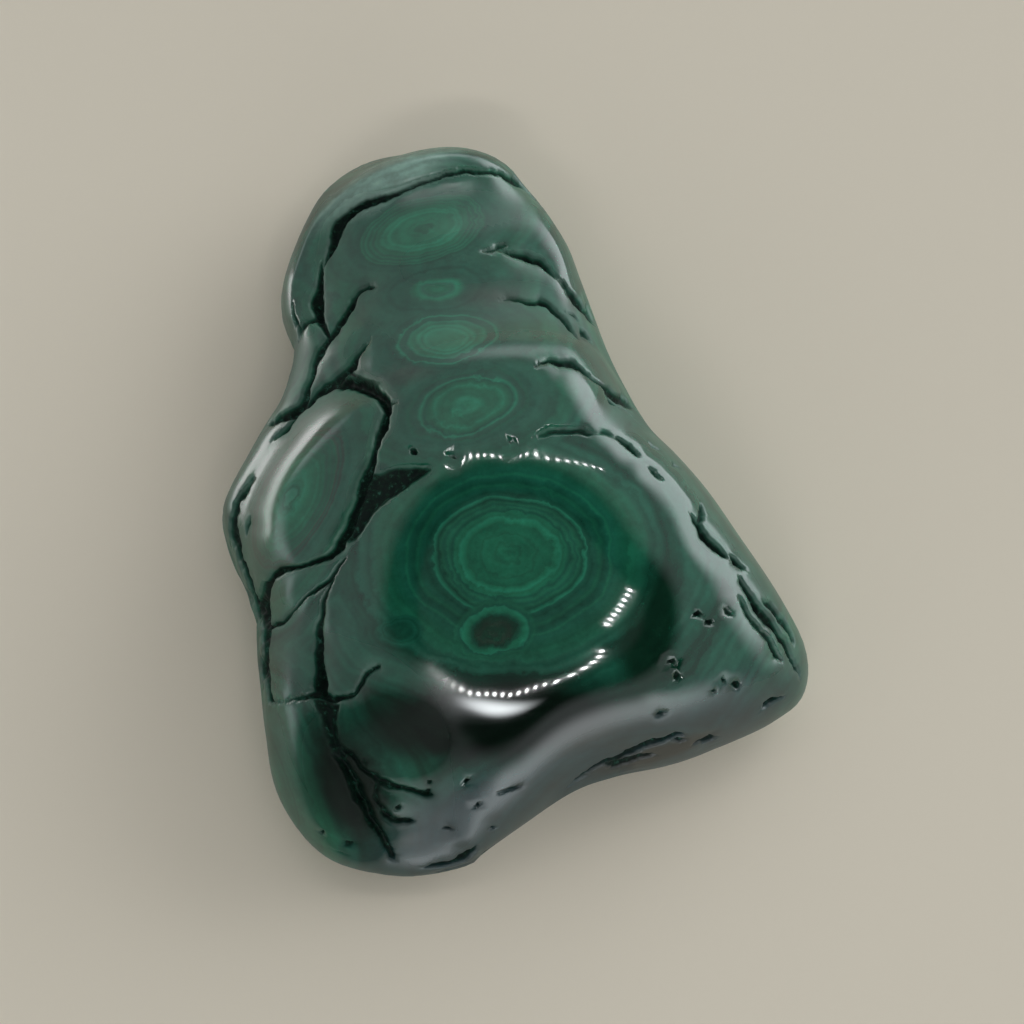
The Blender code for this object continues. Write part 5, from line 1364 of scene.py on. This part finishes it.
# Patches of one tone without rings: real stains, and also painted light, which is a painted
# highlight on the far crest and painted shade in the near-left valley.
STAINS_AND_PAINTED_LIGHT = (
    Eye("slate near side", Place.SHEET, (8.0, -31.5), (30.0, 8.0), 22.0, 14.0, 0.0,
        ((0.0, Tone.SLATE),), (0.65, 1.25)),
    Eye("dark near rim", Place.SHEET, (-2.0, -24.2), (18.5, 5.6), 4.0, 9.0, 0.0,
        ((0.0, Tone.INK),), (0.55, 1.2)),
    Eye("dark right rim", Place.SHEET, (16.0, -13.5), (3.6, 9.5), -8.0, 9.0, 0.0,
        ((0.0, Tone.NIGHT),), (0.55, 1.25)),
    # Painted shade: the valley between the near-left lobe and the nodule is coloured ink-dark where
    # shade and a dark reflection fall.
    Eye("painted shade in the near left valley", Place.SHEET, (-18.5, -32.0), (5.0, 9.0), 28.0, 9.0, 0.0,
        ((0.0, Tone.INK),), (0.45, 1.2)),
    # Painted highlight: a pale band of colour along the far crest, standing in for the light it
    # reflects.
    Eye("painted highlight on the far crest", Place.SHEET, (-15.0, 37.6), (12.0, 3.2), 27.0, 6.0, 0.0,
        ((0.0, Tone.PAINTED_HIGHLIGHT),), (0.35, 1.2)),
    Eye("dark near slash", Place.SHEET, (16.0, -28.2), (8.5, 1.4), 17.0, 5.0, 0.0,
        ((0.0, Tone.INK),), (0.5, 1.2)),
    Eye("umber between the far eyes", Place.SHEET, (-2.6, 24.6), (5.5, 2.4), 5.0, 6.0, 0.0,
        ((0.0, Tone.UMBER),), (0.0, 1.1)),
    Eye("umber on the left", Place.SHEET, (-12.0, 15.6), (5.0, 1.8), 10.0, 6.0, 0.0,
        ((0.0, Tone.UMBER),), (0.0, 1.1)),
)


@dataclass
class GrowthPattern:
    """The growth bands of malachite as a node tree: what it adds is the same for any finish.

    Attributes:
        skin: the skin that the growth centres lie on.
        sheet: the leaning sheet.
        fit: how millimetres become the frame's metres.
        eyes: the growth centres.
        stains_and_painted_light: patches of another tone, without rings: real stains, and also
            painted shade and a painted highlight.
        wave: size of the slow wobble of the rings.
        wave_reach: how far that wobble shifts a ring.
        ripple: size of the fine wobble of the rings.
        ripple_reach: how far that wobble shifts a ring.
        crinkle_reach: how far it shifts a ring where the growth was disturbed.
        blend: how softly the bands of two centres meet.
        broad_band: usual width of a broad band.
        fine_band: usual width of a fine band.
        cloud: size of the cloudy patches.
    """

    skin: Skin
    sheet: Sheet
    fit: FrameFit
    eyes: tuple[Eye, ...] = EYES
    stains_and_painted_light: tuple[Eye, ...] = STAINS_AND_PAINTED_LIGHT
    wave: float = 5.5
    wave_reach: float = 0.75
    ripple: float = 1.2
    ripple_reach: float = 0.16
    crinkle_reach: float = 0.75
    blend: float = 0.8
    broad_band: float = 2.6
    fine_band: float = 0.7
    cloud: float = 6.0

    def centre(self, eye: Eye) -> tuple[np.ndarray, np.ndarray]:
        """Find where a growth centre is and which way it looks.

        Args:
            eye: the growth centre.

        Returns:
            Its place in the stone's millimetres, and its own three directions, a row each.
        """
        if eye.place is Place.SHEET:
            right, up, toward = self.sheet.axes()
            return self.sheet.place(eye.at, self.skin), np.stack([right, up, -toward])
        if eye.place is Place.BASE:
            return np.array([*eye.at, 0.0]), np.diag([1.0, -1.0, -1.0])
        angle = math.radians(eye.at[0])
        out = np.array([math.cos(angle), math.sin(angle), 0.0])
        start = out * 80.0 + np.array([0.0, 0.0, eye.at[1]])
        up = np.array([0.0, 0.0, 1.0])
        return self.skin.hit(start, -out, 80.0), np.stack([np.cross(up, out), up, out])

    def coordinates(self, tree: bpy.types.NodeTree) -> bpy.types.NodeSocket:
        """Add the place on the stone in millimetres.

        Args:
            tree: the node tree.

        Returns:
            The socket of the place.
        """
        source = add_node(tree, "ShaderNodeTexCoord")
        place = add_node(tree, "ShaderNodeVectorMath", {"operation": "SCALE", "Scale": 1.0 / MM},
                         {0: source.outputs["Object"]})
        return place.outputs[0]

    def shift(self, tree: bpy.types.NodeTree, place: bpy.types.NodeSocket, size: float,
              reach: float, detail: float) -> bpy.types.NodeSocket:
        """Add a wobble: a shift that changes slowly from place to place.

        Args:
            tree: the node tree.
            place: the place in millimetres.
            size: size of the wobble.
            reach: how far it shifts.
            detail: how many finer wobbles lie on it.

        Returns:
            The socket of the shift.
        """
        cloud = add_node(tree, "ShaderNodeTexNoise", {"Scale": 1.0 / size, "Detail": detail},
                         {"Vector": place})
        spread = add_node(tree, "ShaderNodeVectorMath", {
            "operation": "MULTIPLY_ADD", 1: (2.0 * reach,) * 3, 2: (-reach,) * 3,
        }, {0: cloud.outputs["Color"]})
        return spread.outputs[0]

    def wobbled(self, tree: bpy.types.NodeTree,
                place: bpy.types.NodeSocket) -> bpy.types.NodeSocket:
        """Add the slow and the fine wobble of the rings to a place.

        Args:
            tree: the node tree.
            place: the place in millimetres.

        Returns:
            The socket of the wobbled place.
        """
        wave = self.shift(tree, place, self.wave, self.wave_reach, 1.0)
        ripple = self.shift(tree, place, self.ripple, self.ripple_reach, 2.0)
        crinkle = self.shift(tree, place, self.ripple, self.crinkle_reach, 3.0)
        patches = add_node(tree, "ShaderNodeTexNoise", {"Scale": 1.0 / self.cloud, "Detail": 1.0},
                           {"Vector": place})
        disturbed = add_node(tree, "ShaderNodeMapRange", {
            "interpolation_type": "SMOOTHSTEP", "From Min": 0.47, "From Max": 0.64,
        }, {"Value": patches.outputs[0]})
        local = add_node(tree, "ShaderNodeVectorMath", {"operation": "SCALE"},
                         {0: crinkle, "Scale": disturbed.outputs[0]})
        result = place
        for part in (wave, ripple, local.outputs[0]):
            result = add_node(tree, "ShaderNodeVectorMath", {"operation": "ADD"},
                              {0: result, 1: part}).outputs[0]
        return result

    def reach_of(self, tree: bpy.types.NodeTree, place: bpy.types.NodeSocket,
                 eye: Eye) -> bpy.types.NodeSocket:
        """Add how far out from a growth centre a place is.

        Args:
            tree: the node tree.
            place: the wobbled place in millimetres.
            eye: the growth centre.

        Returns:
            The socket of the distance as a share of the centre's outer ring.
        """
        middle, axes = self.centre(eye)
        turn = Matrix.Rotation(math.radians(eye.turn), 3, "Z")
        pose = Matrix(axes.tolist()).transposed() @ turn
        local = add_node(tree, "ShaderNodeMapping", {
            "vector_type": "TEXTURE", "Location": self.fit.one(middle) / MM,
            "Rotation": pose.to_euler(), "Scale": (*eye.halves, eye.depth),
        }, {"Vector": place})
        length = add_node(tree, "ShaderNodeVectorMath", {"operation": "LENGTH"},
                          {0: local.outputs[0]})
        return length.outputs["Value"]

    def growth(self, tree: bpy.types.NodeTree,
               reaches: dict[Eye, bpy.types.NodeSocket]) -> bpy.types.NodeSocket:
        """Add how late the stone grew at a place.

        Args:
            tree: the node tree.
            reaches: the distance from each growth centre.

        Returns:
            The socket of the growth in millimetres.
        """
        result = None
        for eye, reach in reaches.items():
            grown = add_node(tree, "ShaderNodeMath", {
                "operation": "MULTIPLY_ADD", 1: eye.size(), 2: -eye.lead,
            }, {0: reach}).outputs[0]
            if result is not None:
                grown = add_node(tree, "ShaderNodeMath", {
                    "operation": "SMOOTH_MIN", 2: self.blend,
                }, {0: result, 1: grown}).outputs[0]
            result = grown
        return result

    def bands(self, tree: bpy.types.NodeTree, grown: bpy.types.NodeSocket, width: float,
              detail: float) -> bpy.types.NodeSocket:
        """Add bands of uneven width along the growth.

        Args:
            tree: the node tree.
            grown: the growth in millimetres.
            width: usual width of a band.
            detail: how many finer bands lie in it.

        Returns:
            The socket of the bands, from 0 to 1.
        """
        step = add_node(tree, "ShaderNodeMath", {"operation": "DIVIDE", 1: 2.0 * width},
                        {0: grown})
        band = add_node(tree, "ShaderNodeTexNoise", {
            "noise_dimensions": "1D", "Scale": 1.0, "Detail": detail, "Roughness": 0.6,
        }, {"W": step.outputs[0]})
        return band.outputs[0]

    def build(self, tree: bpy.types.NodeTree, stripes: float) -> "Grown":
        """Add the whole pattern.

        Args:
            tree: the node tree.
            stripes: how strongly the common bands show, from 0 to 1.

        Returns:
            The sockets that a finish needs.
        """
        place = self.coordinates(tree)
        wobbled = self.wobbled(tree, place)
        reaches = {eye: self.reach_of(tree, wobbled, eye) for eye in self.eyes}
        grown = self.growth(tree, reaches)
        broad = self.bands(tree, grown, self.broad_band, 0.0)
        fine = self.bands(tree, grown, self.fine_band, 1.0)
        both = add_node(tree, "ShaderNodeMath", {"operation": "MULTIPLY_ADD", 1: 0.45},
                        {0: fine, 2: broad}).outputs[0]
        tone = add_node(tree, "ShaderNodeMath", {"operation": "MULTIPLY_ADD", 1: stripes,
                                                 2: 0.5 - 0.725 * stripes}, {0: both})
        colour = add_node(tree, "ShaderNodeValToRGB", {"stops": (
            (0.0, Tone.NIGHT.colour), (0.2, Tone.DEEP.colour), (0.36, Tone.DARK.colour),
            (0.48, Tone.MID.colour), (0.6, Tone.MIST.colour), (0.75, Tone.GREEN.colour),
            (1.0, Tone.PALE.colour),
        )}, {0: tone.outputs[0]}).outputs[0]
        for tone_patch in self.stains_and_painted_light:
            colour = self.ringed(tree, colour, self.reach_of(tree, wobbled, tone_patch), tone_patch)
        for eye, reach in reaches.items():
            if eye.rings:
                colour = self.ringed(tree, colour, reach, eye)
        return Grown(place, grown, fine, colour)

    def ringed(self, tree: bpy.types.NodeTree, colour: bpy.types.NodeSocket,
               reach: bpy.types.NodeSocket, eye: Eye) -> bpy.types.NodeSocket:
        """Lay a growth centre's own rings over a colour.

        Args:
            tree: the node tree.
            colour: the colour below.
            reach: the distance as a share of the outer ring.
            eye: the growth centre.

        Returns:
            The socket of the new colour.
        """
        half = add_node(tree, "ShaderNodeMath", {"operation": "MULTIPLY", 1: 0.5}, {0: reach})
        rings = add_node(tree, "ShaderNodeValToRGB", {
            "stops": tuple((0.5 * share, tone.colour) for share, tone in eye.rings),
        }, {0: half.outputs[0]})
        inside = add_node(tree, "ShaderNodeMapRange", {
            "interpolation_type": "SMOOTHSTEP", "From Min": eye.fade[0], "From Max": eye.fade[1],
            "To Min": 1.0, "To Max": 0.0,
        }, {"Value": reach})
        mixed = add_node(tree, "ShaderNodeMix", {"data_type": "RGBA"},
                         {0: inside.outputs[0], 6: colour, 7: rings.outputs[0]})
        return mixed.outputs[2]


@dataclass(frozen=True)
class Grown:
    """The sockets that the growth pattern gives to a finish.

    Attributes:
        place: the place on the stone in millimetres.
        age: the growth in millimetres; not used.
        fine: the fine bands, from 0 to 1.
        colour: the colour of the bands.
    """

    place: bpy.types.NodeSocket
    age: bpy.types.NodeSocket
    fine: bpy.types.NodeSocket
    colour: bpy.types.NodeSocket


@dataclass(frozen=True)
class PolishedMalachite:
    """Malachite, ground and polished by hand: a glassy dark green with rings and bare creases, which
    are darkened with painted shade.

    Attributes:
        ior: malachite bends light about as strongly as flint glass, so it mirrors clearly.
        polish: roughness of the polished face.
        haze: how much that roughness changes from place to place.
        dull: roughness in the valleys and along the creases, which the wheel didn't reach.
        dim: specular level of the stone that was never polished.
        crust: roughness of the bare stone in a crease.
        crust_shade_colour: the dark, weathered green of that stone, which also stands in as painted
            shade down in the crease.
        crust_light: the crumbs that catch the light in it.
        crust_grain: size of the crumbs.
        bare_from: depth at which a groove begins to look bare and the painted shade begins.
        bare_to: depth at which it looks wholly bare and fully shaded.
        polish_wave: size of the flats that hand polishing leaves.
        polish_depth: how deep those are.
        crust_depth: how deep the crumbs are.
        pinhole: usual distance between pinholes; not used.
    """

    ior: float = 1.76
    polish: float = 0.045
    haze: float = 0.03
    dull: float = 0.56
    dim: float = 0.1
    crust: float = 0.6
    crust_shade_colour: str = "071a15"
    crust_light: str = "3a6f60"
    crust_grain: float = 0.7
    bare_from: float = 0.12
    bare_to: float = 0.62
    polish_wave: float = 5.0
    polish_depth: float = 0.006
    crust_depth: float = 0.12
    pinhole: float = 1.6

    def material(self, pattern: GrowthPattern) -> bpy.types.Material:
        """Make the material.

        Args:
            pattern: the growth bands.

        Returns:
            The material.
        """
        material = bpy.data.materials.new("polished malachite")
        material.use_nodes = True
        tree = material.node_tree
        tree.nodes.clear()
        grown = pattern.build(tree, 0.7)
        bare = self.bareness(tree)
        colour = self.stained(tree, grown)
        crumbs = add_node(tree, "ShaderNodeTexNoise", {
            "Scale": 1.0 / self.crust_grain, "Detail": 4.0, "Roughness": 0.65,
        }, {"Vector": grown.place}).outputs[0]
        # Painted shade: with the groove's depth the colour goes to this dark green, both for the
        # bare stone and for the shade down in the crease.
        crust = add_node(tree, "ShaderNodeValToRGB", {"stops": (
            (0.46, linear(self.crust_shade_colour)), (0.58, Tone.NIGHT.colour),
            (0.76, linear(self.crust_light)),
        )}, {0: crumbs})
        mixed = add_node(tree, "ShaderNodeMix", {"data_type": "RGBA"},
                         {0: bare, 6: colour, 7: crust.outputs[0]})
        haze = add_node(tree, "ShaderNodeMapRange", {
            "From Min": 0.35, "From Max": 0.75, "To Min": self.polish,
            "To Max": self.polish + self.haze,
        }, {"Value": grown.fine})
        source = add_node(tree, "ShaderNodeAttribute", {"attribute_name": "dull"})
        duller = add_node(tree, "ShaderNodeMix", {"data_type": "FLOAT", 3: self.dull},
                          {0: source.outputs["Fac"], 2: haze.outputs[0]})
        rough = add_node(tree, "ShaderNodeMix", {"data_type": "FLOAT", 3: self.crust},
                         {0: bare, 2: duller.outputs[0]})
        missed = add_node(tree, "ShaderNodeAttribute", {"attribute_name": "missed"})
        raw = add_node(tree, "ShaderNodeMath", {"operation": "MAXIMUM"},
                       {0: missed.outputs["Fac"], 1: bare})
        mirror = add_node(tree, "ShaderNodeMapRange", {
            "From Min": 0.0, "From Max": 0.3, "To Min": 0.5, "To Max": self.dim,
        }, {"Value": raw.outputs[0]})
        shader = add_node(tree, "ShaderNodeBsdfPrincipled", {"IOR": self.ior}, {
            "Base Color": mixed.outputs[2], "Roughness": rough.outputs[0],
            "Specular IOR Level": mirror.outputs[0],
            "Normal": self.relief(tree, grown, bare, crumbs),
        })
        add_node(tree, "ShaderNodeOutputMaterial", None, {"Surface": shader.outputs[0]})
        return material

    def bareness(self, tree: bpy.types.NodeTree) -> bpy.types.NodeSocket:
        """Add how bare the stone is: 0 where it is polished, 1 down in a crease; it also sets the
        painted shade in the crease.
        """
        source = add_node(tree, "ShaderNodeAttribute", {"attribute_name": "bare"})
        bare = add_node(tree, "ShaderNodeMapRange", {
            "interpolation_type": "SMOOTHSTEP", "From Min": self.bare_from,
            "From Max": self.bare_to,
        }, {"Value": source.outputs["Fac"]})
        return bare.outputs[0]

    def stained(self, tree: bpy.types.NodeTree, grown: Grown) -> bpy.types.NodeSocket:
        """Lay fine lines and clouds over the bands.

        Args:
            tree: the node tree.
            grown: what the growth pattern gives.

        Returns:
            The socket of the colour.
        """
        lines = add_node(tree, "ShaderNodeMapRange", {
            "From Min": 0.3, "From Max": 0.7, "To Min": 0.82, "To Max": 1.18,
        }, {"Value": grown.fine})
        cloud = add_node(tree, "ShaderNodeTexNoise", {
            "Scale": 1.0 / 2.4, "Detail": 6.0, "Roughness": 0.68,
        }, {"Vector": grown.place})
        clouds = add_node(tree, "ShaderNodeMapRange", {
            "From Min": 0.3, "From Max": 0.7, "To Min": 0.72, "To Max": 1.28,
        }, {"Value": cloud.outputs[0]})
        both = add_node(tree, "ShaderNodeMath", {"operation": "MULTIPLY"},
                        {0: lines.outputs[0], 1: clouds.outputs[0]})
        result = add_node(tree, "ShaderNodeVectorMath", {"operation": "SCALE"},
                          {0: grown.colour, "Scale": both.outputs[0]})
        return result.outputs[0]

    def relief(self, tree: bpy.types.NodeTree, grown: Grown, bare: bpy.types.NodeSocket,
               crumbs: bpy.types.NodeSocket) -> bpy.types.NodeSocket:
        """Add the soft flats of hand polishing and the crumbs in the creases.

        Args:
            tree: the node tree.
            grown: what the growth pattern gives.
            bare: how bare the stone is.
            crumbs: the crumbs, from 0 to 1.

        Returns:
            The socket of the normal.
        """
        flats = add_node(tree, "ShaderNodeTexNoise", {
            "Scale": 1.0 / self.polish_wave, "Detail": 1.0,
        }, {"Vector": grown.place})
        smooth = add_node(tree, "ShaderNodeBump", {
            "Strength": 1.0, "Distance": self.polish_depth * MM,
        }, {"Height": flats.outputs[0]})
        rough = add_node(tree, "ShaderNodeBump", {"Distance": self.crust_depth * MM},
                         {"Strength": bare, "Height": crumbs, "Normal": smooth.outputs[0]})
        return rough.outputs[0]


@dataclass
class Stone:
    """The one piece: the stone that stands for the CAD node.

    Attributes:
        name: the piece's name.
        mesh: what makes its mesh.
        polished: its finish.
    """

    name: str = STONE
    mesh: StoneMesh = field(default_factory=StoneMesh)
    polished: PolishedMalachite = field(default_factory=PolishedMalachite)

    def build(self) -> FrameFit:
        """Build the piece, dress it and tie it to the frame.

        Returns:
            How its millimetres became metres.
        """
        stone, fit = self.mesh.build(self.name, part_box(NODE))
        pattern = GrowthPattern(self.mesh.skin, self.mesh.carving.sheet, fit)
        stone.data.materials.append(self.polished.material(pattern))
        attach(stone, "root")
        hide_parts(NODE)
        stone.data.calc_loop_triangles()
        logging.info("%s: %d triangles", stone.name, len(stone.data.loop_triangles))
        return fit


@dataclass(frozen=True)
class PaleFloor:
    """A matt painted board: pale and plain, so that nothing on it draws the eye.

    Attributes:
        colour: the paint.
        roughness: how matt it is.
        half_size: half its side in metres.
    """

    colour: str = "f7ebd8"
    roughness: float = 0.6
    half_size: float = 2.0

    def build(self) -> None:
        """Lay the floor."""
        board = bmesh.new()
        bmesh.ops.create_grid(board, x_segments=4, y_segments=4, size=self.half_size)
        mesh = bpy.data.meshes.new("floor")
        board.to_mesh(mesh)
        board.free()
        floor = bpy.data.objects.new("floor", mesh)
        bpy.context.scene.collection.objects.link(floor)
        mesh.materials.append(self.material())
        logging.info("floor")

    def material(self) -> bpy.types.Material:
        """Make the paint."""
        material = bpy.data.materials.new("matt pale paint")
        material.use_nodes = True
        tree = material.node_tree
        tree.nodes.clear()
        source = add_node(tree, "ShaderNodeTexCoord")
        grain = add_node(tree, "ShaderNodeTexNoise", {"Scale": 9.0, "Detail": 3.0},
                         {"Vector": source.outputs["Object"]})
        shade = add_node(tree, "ShaderNodeMapRange", {"To Min": 0.985, "To Max": 1.015},
                         {"Value": grain.outputs[0]})
        colour = add_node(tree, "ShaderNodeVectorMath", {
            "operation": "SCALE", 0: linear(self.colour)[:3],
        }, {"Scale": shade.outputs[0]})
        shader = add_node(tree, "ShaderNodeBsdfPrincipled", {
            "Roughness": self.roughness, "Specular IOR Level": 0.2,
        }, {"Base Color": colour.outputs[0]})
        add_node(tree, "ShaderNodeOutputMaterial", None, {"Surface": shader.outputs[0]})
        return material


def hang_lamp(name: str, place: Vector, target: Vector, size: Point2,
              glow: float) -> bpy.types.Object:
    """Hang one lamp.

    Args:
        name: the lamp's name.
        place: where it hangs.
        target: the place it faces.
        size: its width and height.
        glow: its radiance.

    Returns:
        The lamp.
    """
    light = bpy.data.lights.new(name, "AREA")
    light.shape = "ELLIPSE" if size[0] < 0.05 else "RECTANGLE"
    light.size, light.size_y = size
    area = size[0] * size[1] * (math.pi / 4.0 if light.shape == "ELLIPSE" else 1.0)
    light.energy = glow * math.pi * area
    lamp = bpy.data.objects.new(name, light)
    lamp.location = place
    lamp.rotation_euler = (target - place).to_track_quat("-Z", "Y").to_euler()
    lamp.visible_camera = False
    bpy.context.scene.collection.objects.link(lamp)
    return lamp


@dataclass(frozen=True)
class SoftGlow:
    """A soft bright place in the tent, without an edge.

    Attributes:
        name: what it is called.
        compass: its compass direction in degrees.
        rise: its height above the floor in degrees.
        halves: half its width and half its height in degrees.
        core: the share of that which is evenly bright.
        glow: its radiance.
    """

    name: str
    compass: float
    rise: float
    halves: Point2
    core: float
    glow: float

    def add(self, tree: bpy.types.NodeTree, direction: bpy.types.NodeSocket,
            total: bpy.types.NodeSocket) -> bpy.types.NodeSocket:
        """Add the glow to the tent's radiance.

        Args:
            tree: the tent's node tree.
            direction: the direction that is looked in.
            total: the radiance so far.

        Returns:
            The socket of the new radiance.
        """
        compass, rise = math.radians(self.compass), math.radians(self.rise)
        out = Vector((math.cos(rise) * math.cos(compass), math.cos(rise) * math.sin(compass),
                      math.sin(rise)))
        side = Vector((0.0, 0.0, 1.0)).cross(out).normalized()
        pose = Matrix((side, out.cross(side), out)).transposed()
        wide, high = (math.sin(math.radians(half)) for half in self.halves)
        local = add_node(tree, "ShaderNodeMapping", {
            "vector_type": "TEXTURE", "Rotation": pose.to_euler(), "Scale": (wide, high, 1.0),
        }, {"Vector": direction})
        flat = add_node(tree, "ShaderNodeVectorMath", {
            "operation": "MULTIPLY", 1: (1.0, 1.0, 0.0),
        }, {0: local.outputs[0]})
        away = add_node(tree, "ShaderNodeVectorMath", {"operation": "LENGTH"},
                        {0: flat.outputs[0]})
        ahead = add_node(tree, "ShaderNodeSeparateXYZ", None, {0: local.outputs[0]})
        front = add_node(tree, "ShaderNodeMath", {"operation": "GREATER_THAN", 1: 0.0},
                         {0: ahead.outputs[2]})
        shine = add_node(tree, "ShaderNodeMapRange", {
            "interpolation_type": "SMOOTHSTEP", "From Min": self.core, "From Max": 1.0,
            "To Min": self.glow, "To Max": 0.0,
        }, {"Value": away.outputs["Value"]})
        both = add_node(tree, "ShaderNodeMath", {"operation": "MULTIPLY_ADD"},
                        {0: shine.outputs[0], 1: front.outputs[0], 2: total})
        return both.outputs[0]


@dataclass(frozen=True)
class LampBar:
    """A row of small lamps in the roof of the tent.

    Attributes:
        name: what it is called.
        turns: its ends and its turns, as metres along and across for each metre of height.
        pitch: the gap between two lamps in metres.
        size: width of a lamp in metres.
        glow: their radiance.
    """

    name: str
    turns: tuple[Point2, ...]
    pitch: float
    size: float
    glow: float

    def build(self, target: Vector, height: float) -> None:
        """Hang the row.

        Args:
            target: the place that the lamps face.
            height: height of the roof above it.
        """
        turns = np.array(self.turns) * height
        steps = np.hypot(*np.diff(turns, axis=0).T)
        reached = np.concatenate([[0.0], np.cumsum(steps)])
        count = round(reached[-1] / self.pitch) + 1
        for number, along in enumerate(np.linspace(0.0, reached[-1], count)):
            x, y = (np.interp(along, reached, turns[:, axis]) for axis in (0, 1))
            hang_lamp(f"{self.name} {number}", target + Vector((x, y, height)), target,
                      (self.size, self.size), self.glow)


@dataclass
class Studio:
    """The floor, the soft tent with its lamps, and the camera.

    Attributes:
        fit: how millimetres become the frame's metres.
        sheet: the leaning sheet, whose point the camera stands at.
        floor: the floor.
        view_width: how much of the sheet the picture takes in, in mm.
        sensor: width of the camera's sensor in mm.
        roof: height of the tent's roof above the stone in metres.
        bars: the rows of small lamps round the opening in the roof.
        glows: the soft bright places of the tent.
        tint: colour of its light, a cool daylight.
        strip_at: middle of the low strip lamp, in the stone's millimetres.
        lobe_at: the lobe that it faces, in the stone's millimetres.
        strip_size: its length and height in metres.
        strip_glow: its radiance.
        opening_lean: how far the dark opening of the tent lies to the left, in degrees.
        tent: radiance of the tent by the angle from the opening's middle, in degrees.
    """

    fit: FrameFit
    sheet: Sheet
    floor: PaleFloor = field(default_factory=PaleFloor)
    view_width: float = 117.76
    sensor: float = 36.0
    roof: float = 0.52
    bars: tuple[LampBar, ...] = (
        LampBar("far bar", (
            (-0.34, 0.35), (-0.13, 0.345), (0.19, 0.345), (0.35, 0.365), (0.49, 0.385),
        ), 0.028, 0.008, 42.0),
        LampBar("near bar", (
            (-0.62, -0.85), (-0.50, -0.92), (-0.34, -0.99), (-0.19, -0.98), (-0.06, -1.0),
            (0.17, -0.98), (0.27, -1.0), (0.31, -0.93), (0.34, -0.82), (0.34, -0.74),
        ), 0.031, 0.0055, 220.0),
        LampBar("right bar", ((0.44, -0.25), (0.34, -0.50)), 0.021, 0.0055, 110.0),
    )
    glows: tuple[SoftGlow, ...] = (
        SoftGlow("right window", 33.0, 8.0, (52.0, 37.0), 0.5, 2.9),
        SoftGlow("left middle glow", 141.0, 1.0, (13.0, 6.0), 0.0, 0.9),
        SoftGlow("left glow", 178.0, 2.0, (30.0, 14.0), 0.3, 1.0),
        SoftGlow("near glow", -72.0, 6.0, (48.0, 21.0), 0.3, 2.0),
        SoftGlow("far glow", 88.0, 11.0, (24.0, 10.0), 0.2, 1.0),
        SoftGlow("streak", -99.0, 42.5, (17.0, 2.8), 0.1, 13.0),
    )
    tint: str = "f7fdff"
    strip_at: Point3 = (-68.0, 30.0, 5.0)
    lobe_at: Point3 = (-30.0, 4.0, 12.0)
    strip_size: Point2 = (0.052, 0.010)
    strip_glow: float = 3.2
    opening_lean: float = 3.0
    tent: tuple[Point2, ...] = (
        (0.0, 0.10), (26.0, 0.10), (28.0, 0.01), (36.5, 0.01), (42.0, 0.40), (60.0, 0.42),
        (75.0, 0.38), (180.0, 0.36),
    )

    def build(self) -> None:
        """Set the whole studio."""
        self.floor.build()
        self.hang_tent()
        target = self.fit.one(np.array(self.sheet.middle))
        for bar in self.bars:
            bar.build(target, self.roof)
        self.lay_strip()
        self.set_camera()
        bpy.context.scene.view_settings.view_transform = "Standard"
        logging.info("studio: %d lamps", len(bpy.data.lights))

    def lay_strip(self) -> None:
        """Lay the low strip lamp beside the left lobe, for the stone alone."""
        strip = hang_lamp("low strip", self.fit.one(np.array(self.strip_at)),
                          self.fit.one(np.array(self.lobe_at)), self.strip_size, self.strip_glow)
        lit = bpy.data.collections.new("lit by the strip")
        lit.objects.link(bpy.data.objects[STONE])
        strip.light_linking.receiver_collection = lit
        strip.visible_diffuse = False

    def hang_tent(self) -> None:
        """Hang the tent: soft white cloth with a dark opening above the near side."""
        world = bpy.data.worlds.new("soft tent")
        world.use_nodes = True
        tree = world.node_tree
        tree.nodes.clear()
        source = add_node(tree, "ShaderNodeTexCoord")
        opening = Vector((-self.sheet.axes()[2]).tolist())
        opening.rotate(Matrix.Rotation(-math.radians(self.opening_lean), 3, "Y"))
        across = add_node(tree, "ShaderNodeVectorMath", {
            "operation": "DOT_PRODUCT", 1: opening,
        }, {0: source.outputs["Generated"]})
        angle = add_node(tree, "ShaderNodeMath", {"operation": "ARCCOSINE"},
                         {0: across.outputs["Value"]})
        share = add_node(tree, "ShaderNodeMath", {"operation": "DIVIDE", 1: math.pi},
                         {0: angle.outputs[0]})
        stops = tuple((degrees / 180.0, (glow, glow, glow, 1.0)) for degrees, glow in self.tent)
        total = add_node(tree, "ShaderNodeValToRGB", {"stops": stops},
                         {0: share.outputs[0]}).outputs[0]
        for glow in self.glows:
            total = glow.add(tree, source.outputs["Generated"], total)
        light = add_node(tree, "ShaderNodeBackground", {"Color": linear(self.tint)},
                         {"Strength": total})
        add_node(tree, "ShaderNodeOutputWorld", None, {"Surface": light.outputs[0]})
        bpy.context.scene.world = world

    def set_camera(self) -> None:
        """Set the camera at the point that the sheet faces."""
        lens = bpy.data.cameras.new("camera")
        lens.sensor_width = self.sensor
        lens.lens = self.sensor * self.sheet.reach / self.view_width
        lens.clip_start = 0.01
        lens.clip_end = 20.0
        camera = bpy.data.objects.new("camera", lens)
        camera.location = self.fit.one(self.sheet.origin())
        toward = Vector(self.sheet.axes()[2].tolist())
        camera.rotation_euler = toward.to_track_quat("-Z", "Y").to_euler()
        bpy.context.scene.collection.objects.link(camera)
        bpy.context.scene.camera = camera


def main() -> None:
    """Build the stone and the studio in order."""
    logging.basicConfig(level=logging.INFO, format="%(message)s")
    stone = Stone()
    fit = stone.build()
    Studio(fit, stone.mesh.carving.sheet).build()


if __name__ == "__main__":
    main()
